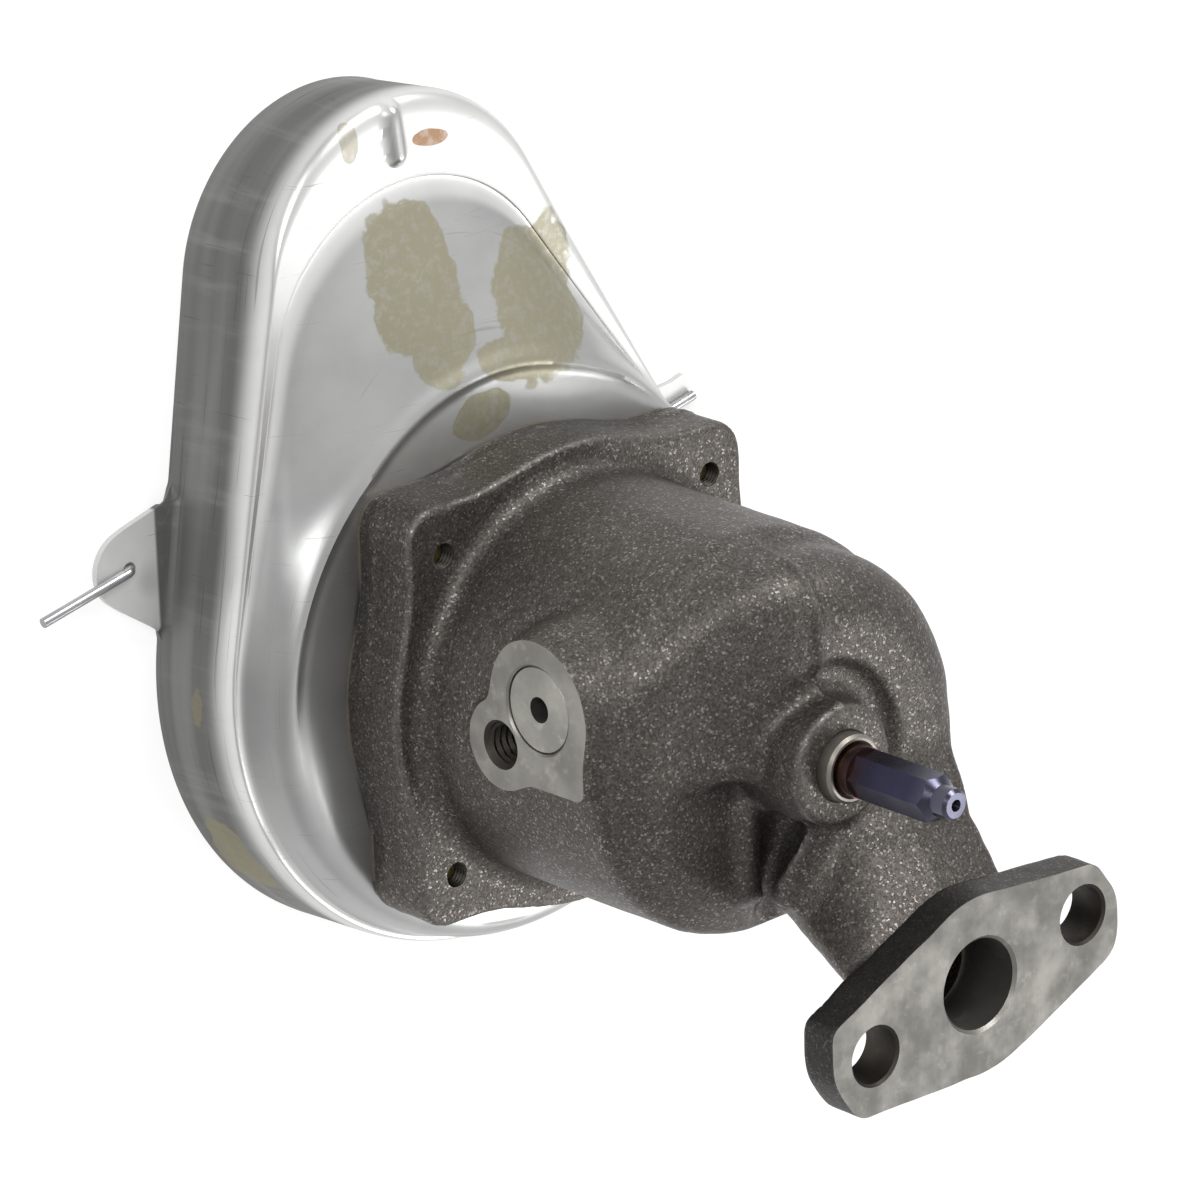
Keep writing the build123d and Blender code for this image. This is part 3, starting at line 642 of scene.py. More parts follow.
@dataclass(frozen=True)
class CastIron(Finish):
    """Blasted grey iron: warm dark metal with a fine sparkling grain, with painted shade in its hollows and a
    painted highlight on its edges.

    Below the outlet's machined face, its flange's side is darker, as painted shade.
    """

    METAL = 0.9
    PLAIN = ((0.066, 0.059, 0.054), (0.098, 0.089, 0.080))
    SPECK = ((0.036, 0.031, 0.028), (0.135, 0.123, 0.112))
    GLINT = (0.24, 0.225, 0.21)
    # Painted shade for the hollows and a painted highlight for the edges.
    HOLLOW_SHADE = (0.035, 0.031, 0.029)
    EDGE_HIGHLIGHT = (0.30, 0.285, 0.27)
    # Painted shade on the outlet flange's side.
    FLANGE_SIDE_SHADE = (0.016, 0.015, 0.014)
    FLANGE_LOW, FLANGE_HIGH = -0.0095, -0.0080

    def dress(self, tree: Tree, shader: bpy.types.Node, place: Socket, effects: Effects) -> None:
        """Add grain, the painted edge highlight and hollow shade, and the painted shade on the flange's side.
        """
        grain = tree.node("ShaderNodeGroup", {"Vector": place}, node_tree=effects.grain)
        edge_light_hollow_shade = tree.node("ShaderNodeGroup", node_tree=effects.edge_light_hollow_shade)
        plain = tree.mix(grain.outputs["Mottle"], *self.PLAIN)
        speck = tree.mix(tree.fit(grain.outputs["Shade"], 0.32, 0.68), *self.SPECK)
        lit = tree.mix(grain.outputs["Glint"], tree.mix(0.5, plain, speck), self.GLINT)
        # Painted shade in the hollows, then a painted highlight on the edges.
        hollow = tree.mix(tree.times(edge_light_hollow_shade.outputs["HollowShade"], 0.6), lit, self.HOLLOW_SHADE)
        edge = tree.mix(tree.times(edge_light_hollow_shade.outputs["EdgeHighlight"], 0.5), hollow, self.EDGE_HIGHLIGHT)
        # Painted shade on the outlet flange's side, by height.
        flange = tree.fit(tree.axis(place, 2), self.FLANGE_LOW, self.FLANGE_HIGH)
        shade = tree.mix(tree.times(flange, 0.72), edge, self.FLANGE_SIDE_SHADE)
        tree.feed(shader.inputs["Base Color"], shade)
        tree.feed(shader.inputs["Roughness"], tree.fit(grain.outputs["Glint"], 0.0, 1.0, 0.50, 0.38))
        tree.bump(shader, grain.outputs["Height"], 0.8, 0.00011)


@dataclass(frozen=True)
class Machined(Finish):
    """Cut metal: fine tool lines, faint stains and brighter patches about a base colour."""

    colour: tuple
    rough: float
    METAL = 0.95

    def dress(self, tree: Tree, shader: bpy.types.Node, place: Socket, effects: Effects) -> None:
        """Add stains, patches and tool lines."""
        lines = tree.node("ShaderNodeGroup", {"Vector": place}, node_tree=effects.lines)
        stain = tree.noise(place, 90.0, 5.0, 0.6)
        low = tuple(0.72 * c for c in self.colour)
        high = tuple(min(1.0, 1.3 * c) for c in self.colour)
        base = tree.mix(tree.fit(stain, 0.35, 0.7), low, self.colour)
        patch = tree.fit(tree.noise(place, 260.0, 4.0, 0.65), 0.55, 0.7, 0.0, 0.5)
        tree.feed(shader.inputs["Base Color"], tree.mix(patch, base, high))
        clean = tree.fit(stain, 0.3, 0.7, self.rough + 0.08, self.rough - 0.04)
        rough = tree.plus(clean, tree.times(lines.outputs[0], 0.08))
        tree.feed(shader.inputs["Roughness"], rough)
        tree.bump(shader, lines.outputs[0], 0.25, 0.00005)


@dataclass(frozen=True)
class Tempered(Finish):
    """Blue-purple tempered steel, brown towards the bush and paler at its tip."""

    METAL = 1.0
    BROWN, BLUE, TIP = (0.085, 0.046, 0.034), (0.040, 0.038, 0.068), (0.085, 0.085, 0.115)

    def dress(self, tree: Tree, shader: bpy.types.Node, place: Socket, effects: Effects) -> None:
        """Add the colours by height, with a cloudy border."""
        cloud = tree.noise(place, 160.0, 3.0)
        share = tree.plus(tree.axis(place, 2), tree.times(cloud, 0.006))
        base = tree.mix(tree.fit(share, -0.0145, -0.0065), self.BROWN, self.BLUE)
        tree.feed(shader.inputs["Base Color"], tree.mix(tree.fit(share, 0.003, 0.010), base, self.TIP))
        tree.feed(shader.inputs["Roughness"], tree.fit(cloud, 0.3, 0.7, 0.22, 0.34))


class Stain(Enum):
    """What has dried on the hood: its colour, how much rougher it is, and how much of it shows."""

    FILM = ((0.290, 0.268, 0.180), 0.10, 0.85)
    TAN = ((0.30, 0.265, 0.175), 0.12, 0.6)
    RUST = ((0.30, 0.150, 0.055), 0.22, 0.85)


# Each stain's spots: a centre, half sizes and a turn about z in degrees.
STAINS = {
    Stain.FILM: [((-21.0, 75.0, -108.5), (10.5, 17.0, 9.0), 8.0),
                 ((-17.0, 64.0, -107.0), (8.0, 9.0, 9.0), 0.0),
                 ((9.0, 67.0, -107.0), (12.5, 17.5, 9.0), -30.0),
                 ((0.0, 57.5, -105.0), (13.0, 4.5, 6.0), -6.0),
                 ((-10.2, 48.8, -103.5), (7.0, 4.5, 5.0), 10.0),
                 ((-51.0, -26.0, -125.0), (8.0, 13.0, 7.0), 0.0)],
    Stain.TAN: [((-30.9, 102.4, -112.0), (2.2, 4.2, 4.0), 0.0),
                ((-58.0, 2.0, -122.0), (6.0, 9.0, 3.0), 0.0)],
    Stain.RUST: [((-12.6, 99.6, -112.0), (4.6, 1.7, 4.0), -6.0),
                 ((-31.1, -48.4, -129.0), (9.0, 5.0, 1.8), 0.0)],
}


@dataclass(frozen=True)
class HoodSheet(Finish):
    """Satin drawn sheet with draw lines, scratches, dried oil film and rust; painted shade on the walls, with
    lighter streaks of painted reflection along the draw lines, and painted light on shelf, slope and ears,
    strongest on the shelf.
    """

    METAL = 0.93
    # Painted shade for the walls, lighter streaks of painted reflection along their draw lines, and painted
    # light for the shelf and, weaker, for the slope.
    WALL_SHADE = ((0.150, 0.150, 0.146), (0.225, 0.225, 0.217))
    DRAW_LINE_SHEEN = (0.33, 0.33, 0.32)
    SHELF_LIGHT = ((0.62, 0.62, 0.61), (0.69, 0.69, 0.68))
    SLOPE_LIGHT = ((0.385, 0.390, 0.385), (0.455, 0.460, 0.450))
    SCRATCH = (0.12, 0.12, 0.115)
    SHELF_HEIGHTS = (-0.1119, -0.1108)
    WALL_HEIGHTS = (-0.1195, -0.1125)
    MIDDLE = 0.0181
    # Beyond this the ears take the painted light of the top.
    LIT_EARS = (0.0600, 0.0608)

    def dress(self, tree: Tree, shader: bpy.types.Node, place: Socket, effects: Effects) -> None:
        """Add the walls' painted shade and the painted light of shelf, slope and ears, then scratches, then
        each stain.
        """
        height = tree.axis(place, 2)
        cloud = tree.noise(place, 42.0, 4.0, 0.6)
        streak = tree.noise(tree.stretched(place, (260.0, 260.0, 14.0)), 1.0, 3.0, 0.6)
        band = tree.noise(tree.stretched(place, (9.0, 9.0, 190.0)), 1.0, 2.0, 0.5)
        # The walls in painted shade, with lighter streaks of painted reflection along the draw lines.
        wall = tree.mix(tree.fit(band, 0.3, 0.7), *self.WALL_SHADE)
        wall = tree.mix(tree.times(tree.fit(streak, 0.5, 0.8), 0.35), wall, self.DRAW_LINE_SHEEN)
        # Painted light on the shelf, and weaker painted light on the slope.
        shelf = tree.mix(tree.fit(cloud, 0.3, 0.7), *self.SHELF_LIGHT)
        slope = tree.mix(tree.fit(cloud, 0.3, 0.7), *self.SLOPE_LIGHT)
        top = tree.mix(tree.fit(height, *self.SHELF_HEIGHTS), shelf, slope)
        across = tree.math("ABSOLUTE", tree.plus(tree.axis(place, 0), self.MIDDLE))
        # The ears and all above the walls take the painted light.
        bright = tree.math("MAXIMUM", tree.fit(height, *self.WALL_HEIGHTS), tree.fit(across, *self.LIT_EARS))
        base = tree.mix(bright, wall, top)
        fine = tree.noise(tree.stretched(place, (60.0, 1900.0, 60.0), (0.0, 0.0, 0.5)), 1.0, 3.0, 0.7)
        marks = tree.noise(tree.stretched(place, (22.0, 22.0, 1500.0)), 1.0, 2.0, 0.7)
        scratch = tree.math("MAXIMUM", tree.fit(fine, 0.66, 0.72), tree.fit(marks, 0.64, 0.70))
        base = tree.mix(tree.times(scratch, 0.35), base, self.SCRATCH)
        rough = tree.plus(tree.fit(height, *self.WALL_HEIGHTS, 0.62, 0.36),
                          tree.times(scratch, 0.15))
        ragged = tree.math("SUBTRACT", tree.noise(place, 120.0, 5.0, 0.55), 0.5)
        ragged = tree.times(ragged, 0.9)
        blotch = tree.fit(tree.noise(place, 480.0, 4.0, 0.7), 0.35, 0.55, 0.72, 1.0)
        for kind in Stain:
            colour, shine, share = kind.value
            spots = [tree.spot(place, *spot) for spot in STAINS[kind]]
            away = reduce(lambda a, b: tree.math("MINIMUM", a, b), spots)
            mask = tree.fit(tree.plus(away, ragged), 1.0, 0.93)
            mask = tree.times(tree.times(mask, share), blotch)
            base = tree.mix(mask, base, colour)
            rough = tree.plus(rough, tree.times(mask, shine))
        tree.feed(shader.inputs["Base Color"], base)
        tree.feed(shader.inputs["Roughness"], rough)
        tree.bump(shader, streak, 0.25, 0.00006)


@dataclass(frozen=True)
class Soft(Finish):
    """A dull fibrous or rubbery surface, speckled about a base colour."""

    colour: tuple
    rough: float
    scale: float

    def dress(self, tree: Tree, shader: bpy.types.Node, place: Socket, effects: Effects) -> None:
        """Add the specks."""
        speck = tree.noise(place, self.scale, 4.0)
        low, high = (tuple(share * c for c in self.colour) for share in (0.6, 1.5))
        tree.feed(shader.inputs["Base Color"], tree.mix(speck, low, high))
        shader.inputs["Roughness"].default_value = self.rough
        tree.bump(shader, speck, 0.4, 0.0001)


# The record's slots, and the three finishes of the casting's cut faces.
FINISHES = {
    "cast_iron": CastIron("cast iron"),
    "machined_face": Machined("machined iron", (0.285, 0.275, 0.252), 0.40),
    "outlet_face": Machined("faced iron", (0.150, 0.145, 0.133), 0.42),
    # The bores' dark colour is painted shade inside the holes.
    "bore_wall": Machined("shaded bore iron", (0.060, 0.054, 0.046), 0.5),
    "sintered_bush": Machined("sintered bush", (0.26, 0.24, 0.215), 0.42),
    "bright_steel": Machined("bright turned steel", (0.34, 0.33, 0.30), 0.32),
    "sintered_steel": Machined("ground rotor steel", (0.46, 0.45, 0.43), 0.26),
    "spring_steel": Machined("spring wire", (0.40, 0.40, 0.41), 0.28),
    "tempered_steel": Tempered("tempered shaft"),
    "hood_sheet": HoodSheet("hood sheet"),
    "zinc_yellow": Machined("yellow zinc", (0.60, 0.50, 0.22), 0.32),
    "gasket_paper": Soft("gasket paper", (0.10, 0.085, 0.065), 0.85, 900.0),
    "rubber": Soft("black rubber", (0.02, 0.02, 0.02), 0.55, 400.0),
    "screen_wire": Machined("screen wire", (0.50, 0.50, 0.49), 0.30),
}


# ---------------------------------------------------------------- the cast body
class Face(IntEnum):
    """The material slots of the casting's faces."""

    CAST = 0
    MACHINED = 1
    SHADED_BORE = 2
    # Faces inside holes, darkened as painted shade.
    OUTLET = 3


@dataclass(frozen=True)
class Casting:
    """The iron body: an as-cast skin with crisp machined faces, bores and threads.

    The skin is the zero surface of a distance field made of smooth unions, so every inner corner
    has the fillet of a sand casting.  The machined faces and holes are cut from it afterwards.
    """

    drum_r: float = 38.5
    drum_draft: float = 0.8
    drum_front: float = -37.0
    flange_half: float = 40.0
    flange_r: float = 44.3
    flange_front: float = -89.4
    joint: float = -103.0
    head_r: float = 35.0
    head_front: float = -25.0
    head_low_y: float = -3.3
    barrel: tuple = (-39.0, 11.3, -56.7)
    barrel_r: float = 11.7
    cheek: tuple = ((0.0, 0.08, 0.17, 0.33, 0.5, 0.67, 0.83, 1.0),
                    (12.4, 14.2, 15.4, 16.7, 18.0, 18.9, 19.8, 20.4))
    bracket: tuple = (-39.0, 2.3, -67.0)
    bracket_boss_r: float = 8.4
    boss_r: float = 11.2
    boss_face: float = -20.0
    port: tuple = (13.1, -39.6)
    port_r: float = 8.5
    outlet_t: float = 8.0
    outlet_waist_r: float = 16.7
    mount_pcd: float = 52.5
    mount_angle: float = 13.0
    mount_r: float = 5.25
    axis_y: float = 3.2
    pocket_r: float = 31.06
    pocket_top: float = -78.0
    riser: tuple = (19.0, 3.0, -45.0)
    oil_way_r: float = 8.0
    shaft_bore_r: float = 4.88
    bush_r: float = 6.35
    bush_low: float = -43.2
    plunger_r: float = 7.0
    plug_r: float = 8.1
    plug_seat: float = -34.5
    bracket_thread: tuple = (3.3, 3.95, 1.41)
    bolt_thread: tuple = (2.15, 2.5, 0.8)
    grid: tuple = ((-48.0, -62.0, -109.0), (50.0, 48.0, 6.5))
    pitch: float = 0.85
    outlet_ends: tuple = (
        (7.6, -15.6), (32.6, -3.8), (34.3, -0.8), (34.3, 7.5), (28.9, 15.0), (0.0, 16.8),
        (-8.3, 14.6), (-35.6, 1.4), (-35.9, -7.0), (-34.0, -11.6), (-29.4, -16.9), (0.0, -17.0))
    neck_root: tuple = (
        (32.5, 16.3), (8.0, 15.0), (0.4, -30.0), (6.0, -35.0), (20.0, -31.0), (32.5, -16.0))
    neck_end: tuple = (
        (31.3, -28.6), (6.0, -28.6), (-12.0, -34.0), (4.0, -53.5), (22.0, -53.5), (31.3, -46.0))

    def rotor_flange(self, x: Array, y: Array, z: Array) -> Array:
        """The rounded square and circle of the joint, with a broken flash ridge round its side."""
        square = rounded_box_2d(x, y, self.flange_half, self.flange_half, 6.5)
        flat = smooth_union(square, np.hypot(x, y) - self.flange_r, 4.0)
        patchy = 0.5 + 0.5 * np.sin(5 * np.arctan2(y, x) + 0.8) * np.sin(2 * np.arctan2(y, x) + 2.0)
        ridge = 0.45 * patchy * np.exp(-((z + 99.6) / 0.7) ** 2)
        return between(flat - ridge, z, self.joint - 4.0, self.flange_front, 1.0)

    def outlet_flange(self, x: Array, y: Array, z: Array) -> Array:
        """The two-bolt flange, with its back edge broken."""
        px, py = x - self.port[0], y - self.port[1]
        ends = convex_2d(px, py, np.array(self.outlet_ends), 1.6)
        flat = smooth_union(ends, np.hypot(px, py) - self.outlet_waist_r, 1.0)
        return between(flat, z, -self.outlet_t, 4.0, 1.0)

    def drum(self, x: Array, y: Array, z: Array) -> Array:
        """The round housing: a convex outline of radius and height about the shaft."""
        r, turn = self.drum_r, self.drum_draft
        front = self.drum_front
        outline = [(-80, -104), (r, -104), (r, -86), (r - turn, -44.0), (r - 9.5, front), (-80, front)]
        return convex_2d(np.hypot(x, y), z, np.array(outline[1:] + outline[:1]), 1.8)

    def head(self, x: Array, y: Array, z: Array) -> Array:
        """The domed front, cut below on the barrel's side, sloped to the barrel, hollow round its boss."""
        dome = between(np.hypot(x - 2.0, y) - self.head_r, z, -80.0, self.head_front, 12.0)
        below = np.maximum(np.minimum(self.head_low_y - y, -6.0 - x), -28.0 - y)
        dome = smooth_cut(dome, below, 1.6)
        slope = (z + 45.0 - 0.526 * (x + 39.0)) / math.hypot(1, 0.526)
        dome = smooth_cut(dome, slope, 4.0)
        dish = np.hypot(np.hypot(x, y) - 14.2, z + 23.0) - 4.4
        return smooth_cut(dome, -np.maximum(dish, -(y + 0.25 * x) - 2.0), 1.2)

    def barrel_end(self, x: Array, y: Array, z: Array) -> Array:
        """The relief barrel, its flat side, its bracket boss and the cone that widens into the head."""
        bx, by, bz = self.barrel
        out = bx - 2.0 - x
        tube = np.maximum(np.hypot(y - by, z - bz) - self.barrel_r, out)
        flat = rounded_box_2d(y - 4.0, z + 54.0, 7.3, 9.0, 2.0)
        block = np.maximum(np.maximum(flat, out), x)
        boss = np.hypot(y - self.bracket[1], z - self.bracket[2]) - self.bracket_boss_r
        boss = np.maximum(boss, np.maximum(out, x))
        share = np.clip((x - bx) / 36.0, 0, 1)
        cone = np.hypot(y - by + 3.3 * share, z - bz - 6.7 * share) - np.interp(share, *self.cheek)
        cone = np.maximum(np.maximum(0.93 * cone, out), np.maximum(x + 3.0, self.head_low_y - y))
        whole = smooth_union(np.maximum(tube, x), block, 2.0)
        return smooth_union(smooth_union(whole, boss, 2.5), cone, 2.5)

    def neck(self, x: Array, y: Array, z: Array) -> Array:
        """The passage's outer shape: two six-sided sections joined, with a crest along its top."""
        share = np.clip((z + 42.0) / 34.0, -0.2, 1.15)
        root, end = np.array(self.neck_root), np.array(self.neck_end)
        corners = root[:, :, None] + (end - root)[:, :, None] * share.ravel()
        sides = 0.8 * convex_2d(x.ravel(), y.ravel(), corners, 4.0).reshape(x.shape)
        crest = z + 20.0 + 0.81 * (y + 13.4) + 0.22 * np.abs(x - 14.5) * np.clip((-10.0 - y) / 8.0, 0, 1)
        sides = smooth_cut(sides, crest / 1.32, 2.0)
        return np.maximum(np.maximum(sides, -46.0 - z), z + 4.0)

    def hollows(self, x: Array, y: Array, z: Array) -> Array:
        """The cored oil ways: the two crescents above the rotors, the riser and the cross passage."""
        radius, angle = np.hypot(x, y - self.axis_y / 2), np.arctan2(y - self.axis_y / 2, x)
        reach = np.minimum(np.abs(angle), np.pi - np.abs(angle)) - np.radians(60)
        ends = np.maximum(reach * radius, z - self.pocket_top - 7.0)
        crescent = np.maximum(np.abs(radius - 21.25) - 3.75, ends)
        bottom = (self.riser[0], self.riser[1], self.pocket_top + 2.0)
        riser = capsule((x, y, z), bottom, self.riser, self.oil_way_r)
        cross = capsule((x, y, z), self.riser, (*self.port, -13.0), self.oil_way_r)
        return smooth_union(crescent, smooth_union(riser, cross, 2.0), 1.5)

    def distance(self, x: Array, y: Array, z: Array) -> Array:
        """The whole casting before it is machined."""
        boss = between(np.hypot(x, y) - self.boss_r, z, -60.0, self.boss_face, 1.2)
        body = smooth_union(self.drum(x, y, z), self.rotor_flange(x, y, z), 4.2)
        soft = 2.6 + 5.0 * np.clip((3.0 - x) / 9.0, 0, 1) * np.clip((y - 8.0) / 10.0, 0, 1)
        body = smooth_union(body, self.head(x, y, z), soft)
        body = smooth_union(body, self.barrel_end(x, y, z), 1.8)
        valley = capsule((x, y, z), (-4.3, -12.9, -31.5), (0.7, -35.3, -39.5), 4.0)
        body = smooth_cut(body, -valley, 2.0)
        fold = capsule((x, y, z), (-8.3, -10.5, -37.4), (-8.4, -26.0, -37.9), 2.5)
        body = smooth_union(body, fold, 1.8)
        body = smooth_union(body, self.neck(x, y, z), 3.5)
        body = smooth_union(body, self.outlet_flange(x, y, z), 3.0)
        body = smooth_union(body, boss, 2.0)
        flash = 0.75 * np.exp(-(x / 0.9) ** 2) * np.clip((y - 9.0) / 3.0, 0, 1)
        flash = flash * np.clip((38.0 - y) / 4.0, 0, 1) * np.clip((z + 50.0) / 5.0, 0, 1)
        uneven = 0.10 * ripple(x, y, z, 14.0, 3) + 0.05 * ripple(x, y, z, 5.0, 4)
        return smooth_cut(body - flash + uneven, -self.hollows(x, y, z), 1.0)

    def cutters(self) -> list:
        """The machined faces and holes, as closed shapes."""
        bx, by, bz = self.barrel
        port, boss, top = self.port_r, self.boss_face, self.pocket_top
        bush, seat = self.bush_r, self.plug_seat
        return [
            block_cutter((-80, -80, -125), (80, 80, self.joint)),
            block_cutter((bx - 30, -30, -80), (bx, 45, -30)),
            stepped_cutter([(port, -13.0), (port, -0.6), (port + 1.1, 0.5)], self.port),
            rod_cutter(self.pocket_r, -130.0, top, (0, self.axis_y)),
            rod_cutter(self.shaft_bore_r, top - 1, -30.0, (0, 0)),
            stepped_cutter([(bush, self.bush_low), (bush, boss - 0.4), (7.2, boss + 0.5)], (0, 0)),
            stepped_cutter([(self.plunger_r, -8.5), (self.plunger_r, seat), (self.plug_r, seat),
                            (self.plug_r, -38.6), (9.0, -39.6)], (0, by, bz), (1, 0, 0)),
            rod_cutter(4.0, -9.5, 15.0, (0, by, bz), (1, 0, 0)),
            rod_cutter(3.0, top + 6, bz, (-16.5, by)),
        ]

    def threads(self) -> list:
        """The mounting holes and the tapped holes, painted darker inside as shade."""
        made = [threaded_cutter(*self.bracket_thread, (-22.0, self.barrel[0] - 1.5),
                                (0, *self.bracket[1:]), (1, 0, 0), 4.6)]
        turn, r = math.radians(self.mount_angle), self.mount_r
        for side in (-1, 1):
            reach = side * self.mount_pcd / 2
            at = (self.port[0] + reach * math.cos(turn), self.port[1] + reach * math.sin(turn))
            made.append(stepped_cutter([(r + 1.0, -9.5), (r, -8.4), (r, -0.5), (r + 1.0, 0.5)], at))
        span = (self.joint - 2, -84.0)
        made += [threaded_cutter(*self.bolt_thread, span, (*bolt, 0), (0, 0, 1), 2.2) for bolt in BOLTS]
        return made

    def build(self, materials: Materials) -> None:
        """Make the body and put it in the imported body's place."""
        used = [materials[name] for name in ("cast_iron", "machined_face", "bore_wall", "outlet_face")]
        thing = mesh_object("cast_body", *skin_of(self.distance, *self.grid, self.pitch), used)
        carve(thing, [block_cutter((-60, -120, 0), (80, 100, 30))], used, Face.OUTLET)
        carve(thing, self.cutters(), used, Face.MACHINED)
        # The holes' walls take the painted shade of the bores.
        carve(thing, self.threads(), used, Face.SHADED_BORE)
        crease_shading(thing, 38)
        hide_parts("pump_body")
        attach(thing, "housing")
        LOG.info("cast body: %d faces", len(thing.data.polygons))


# ---------------------------------------------------------------- the pickup hood
@dataclass(frozen=True)
class Circle2:
    """A circle of an outline: its centre and radius."""

    x: float
    y: float
    r: float


def outline_points(low: Circle2, high: Circle2, where: Array) -> Array:
    """Points on the hull of two circles.

    Args:
        low: The first circle.
        high: The second, smaller circle.
        where: From 0 to 1 the arc of high, 1 to 2 a straight, 2 to 3 the arc of low, 3 to 4 a straight.

    Returns:
        Rows of x and y, anticlockwise.
    """
    axis = math.atan2(high.y - low.y, high.x - low.x)
    spread = math.acos((low.r - high.r) / math.dist((low.x, low.y), (high.x, high.y)))
    part, share = np.floor(where).astype(int) % 4, where % 1.0
    angle = np.choose(part, [
        axis - spread + 2 * spread * share, np.full(share.shape, axis + spread),
        axis + spread + (2 * np.pi - 2 * spread) * share, np.full(share.shape, axis - spread)])
    blend = np.choose(part, [np.zeros(share.shape), share, np.ones(share.shape), 1 - share])
    x = (1 - blend) * high.x + blend * low.x
    y = (1 - blend) * high.y + blend * low.y
    r = (1 - blend) * high.r + blend * low.r
    return np.stack([x + r * np.cos(angle), y + r * np.sin(angle)], 1)


def rounded_path(corners: list, reaches: list, counts: list, bends: list) -> Array:
    """Carry many polylines at once, each corner rounded by a quadratic curve.

    The curve at a corner c between the points a and b is (1-t)^2 a + 2t(1-t) c + t^2 b, where a and
    b lie on the two legs at the corner's reach, and never past 0.48 of a leg.

    Args:
        corners: Arrays of x, y, z rows, one per corner of the path.
        reaches: The rounding's reach at each inner corner.
        counts: Rows along each leg.
        bends: Rows round each inner corner.

    Returns:
        An array of rows by columns by three.
    """
    legs = [b - a for a, b in zip(corners, corners[1:])]
    sizes = [np.linalg.norm(leg, axis=1, keepdims=True) + 1e-9 for leg in legs]
    rows, start = [], corners[0]
    for i, leg in enumerate(legs):
        last = i == len(legs) - 1
        end = corners[i + 1] if last else corners[i + 1] - leg * np.minimum(reaches[i] / sizes[i], 0.48)
        rows += [start + (end - start) * s for s in np.linspace(0, 1, counts[i], endpoint=last)]
        if last:
            break
        after = corners[i + 1] + legs[i + 1] * np.minimum(reaches[i] / sizes[i + 1], 0.48)
        for t in np.linspace(0, 1, bends[i], endpoint=False):
            rows.append((1 - t) ** 2 * end + 2 * t * (1 - t) * corners[i + 1] + t ** 2 * after)
        start = after
    return np.stack(rows)


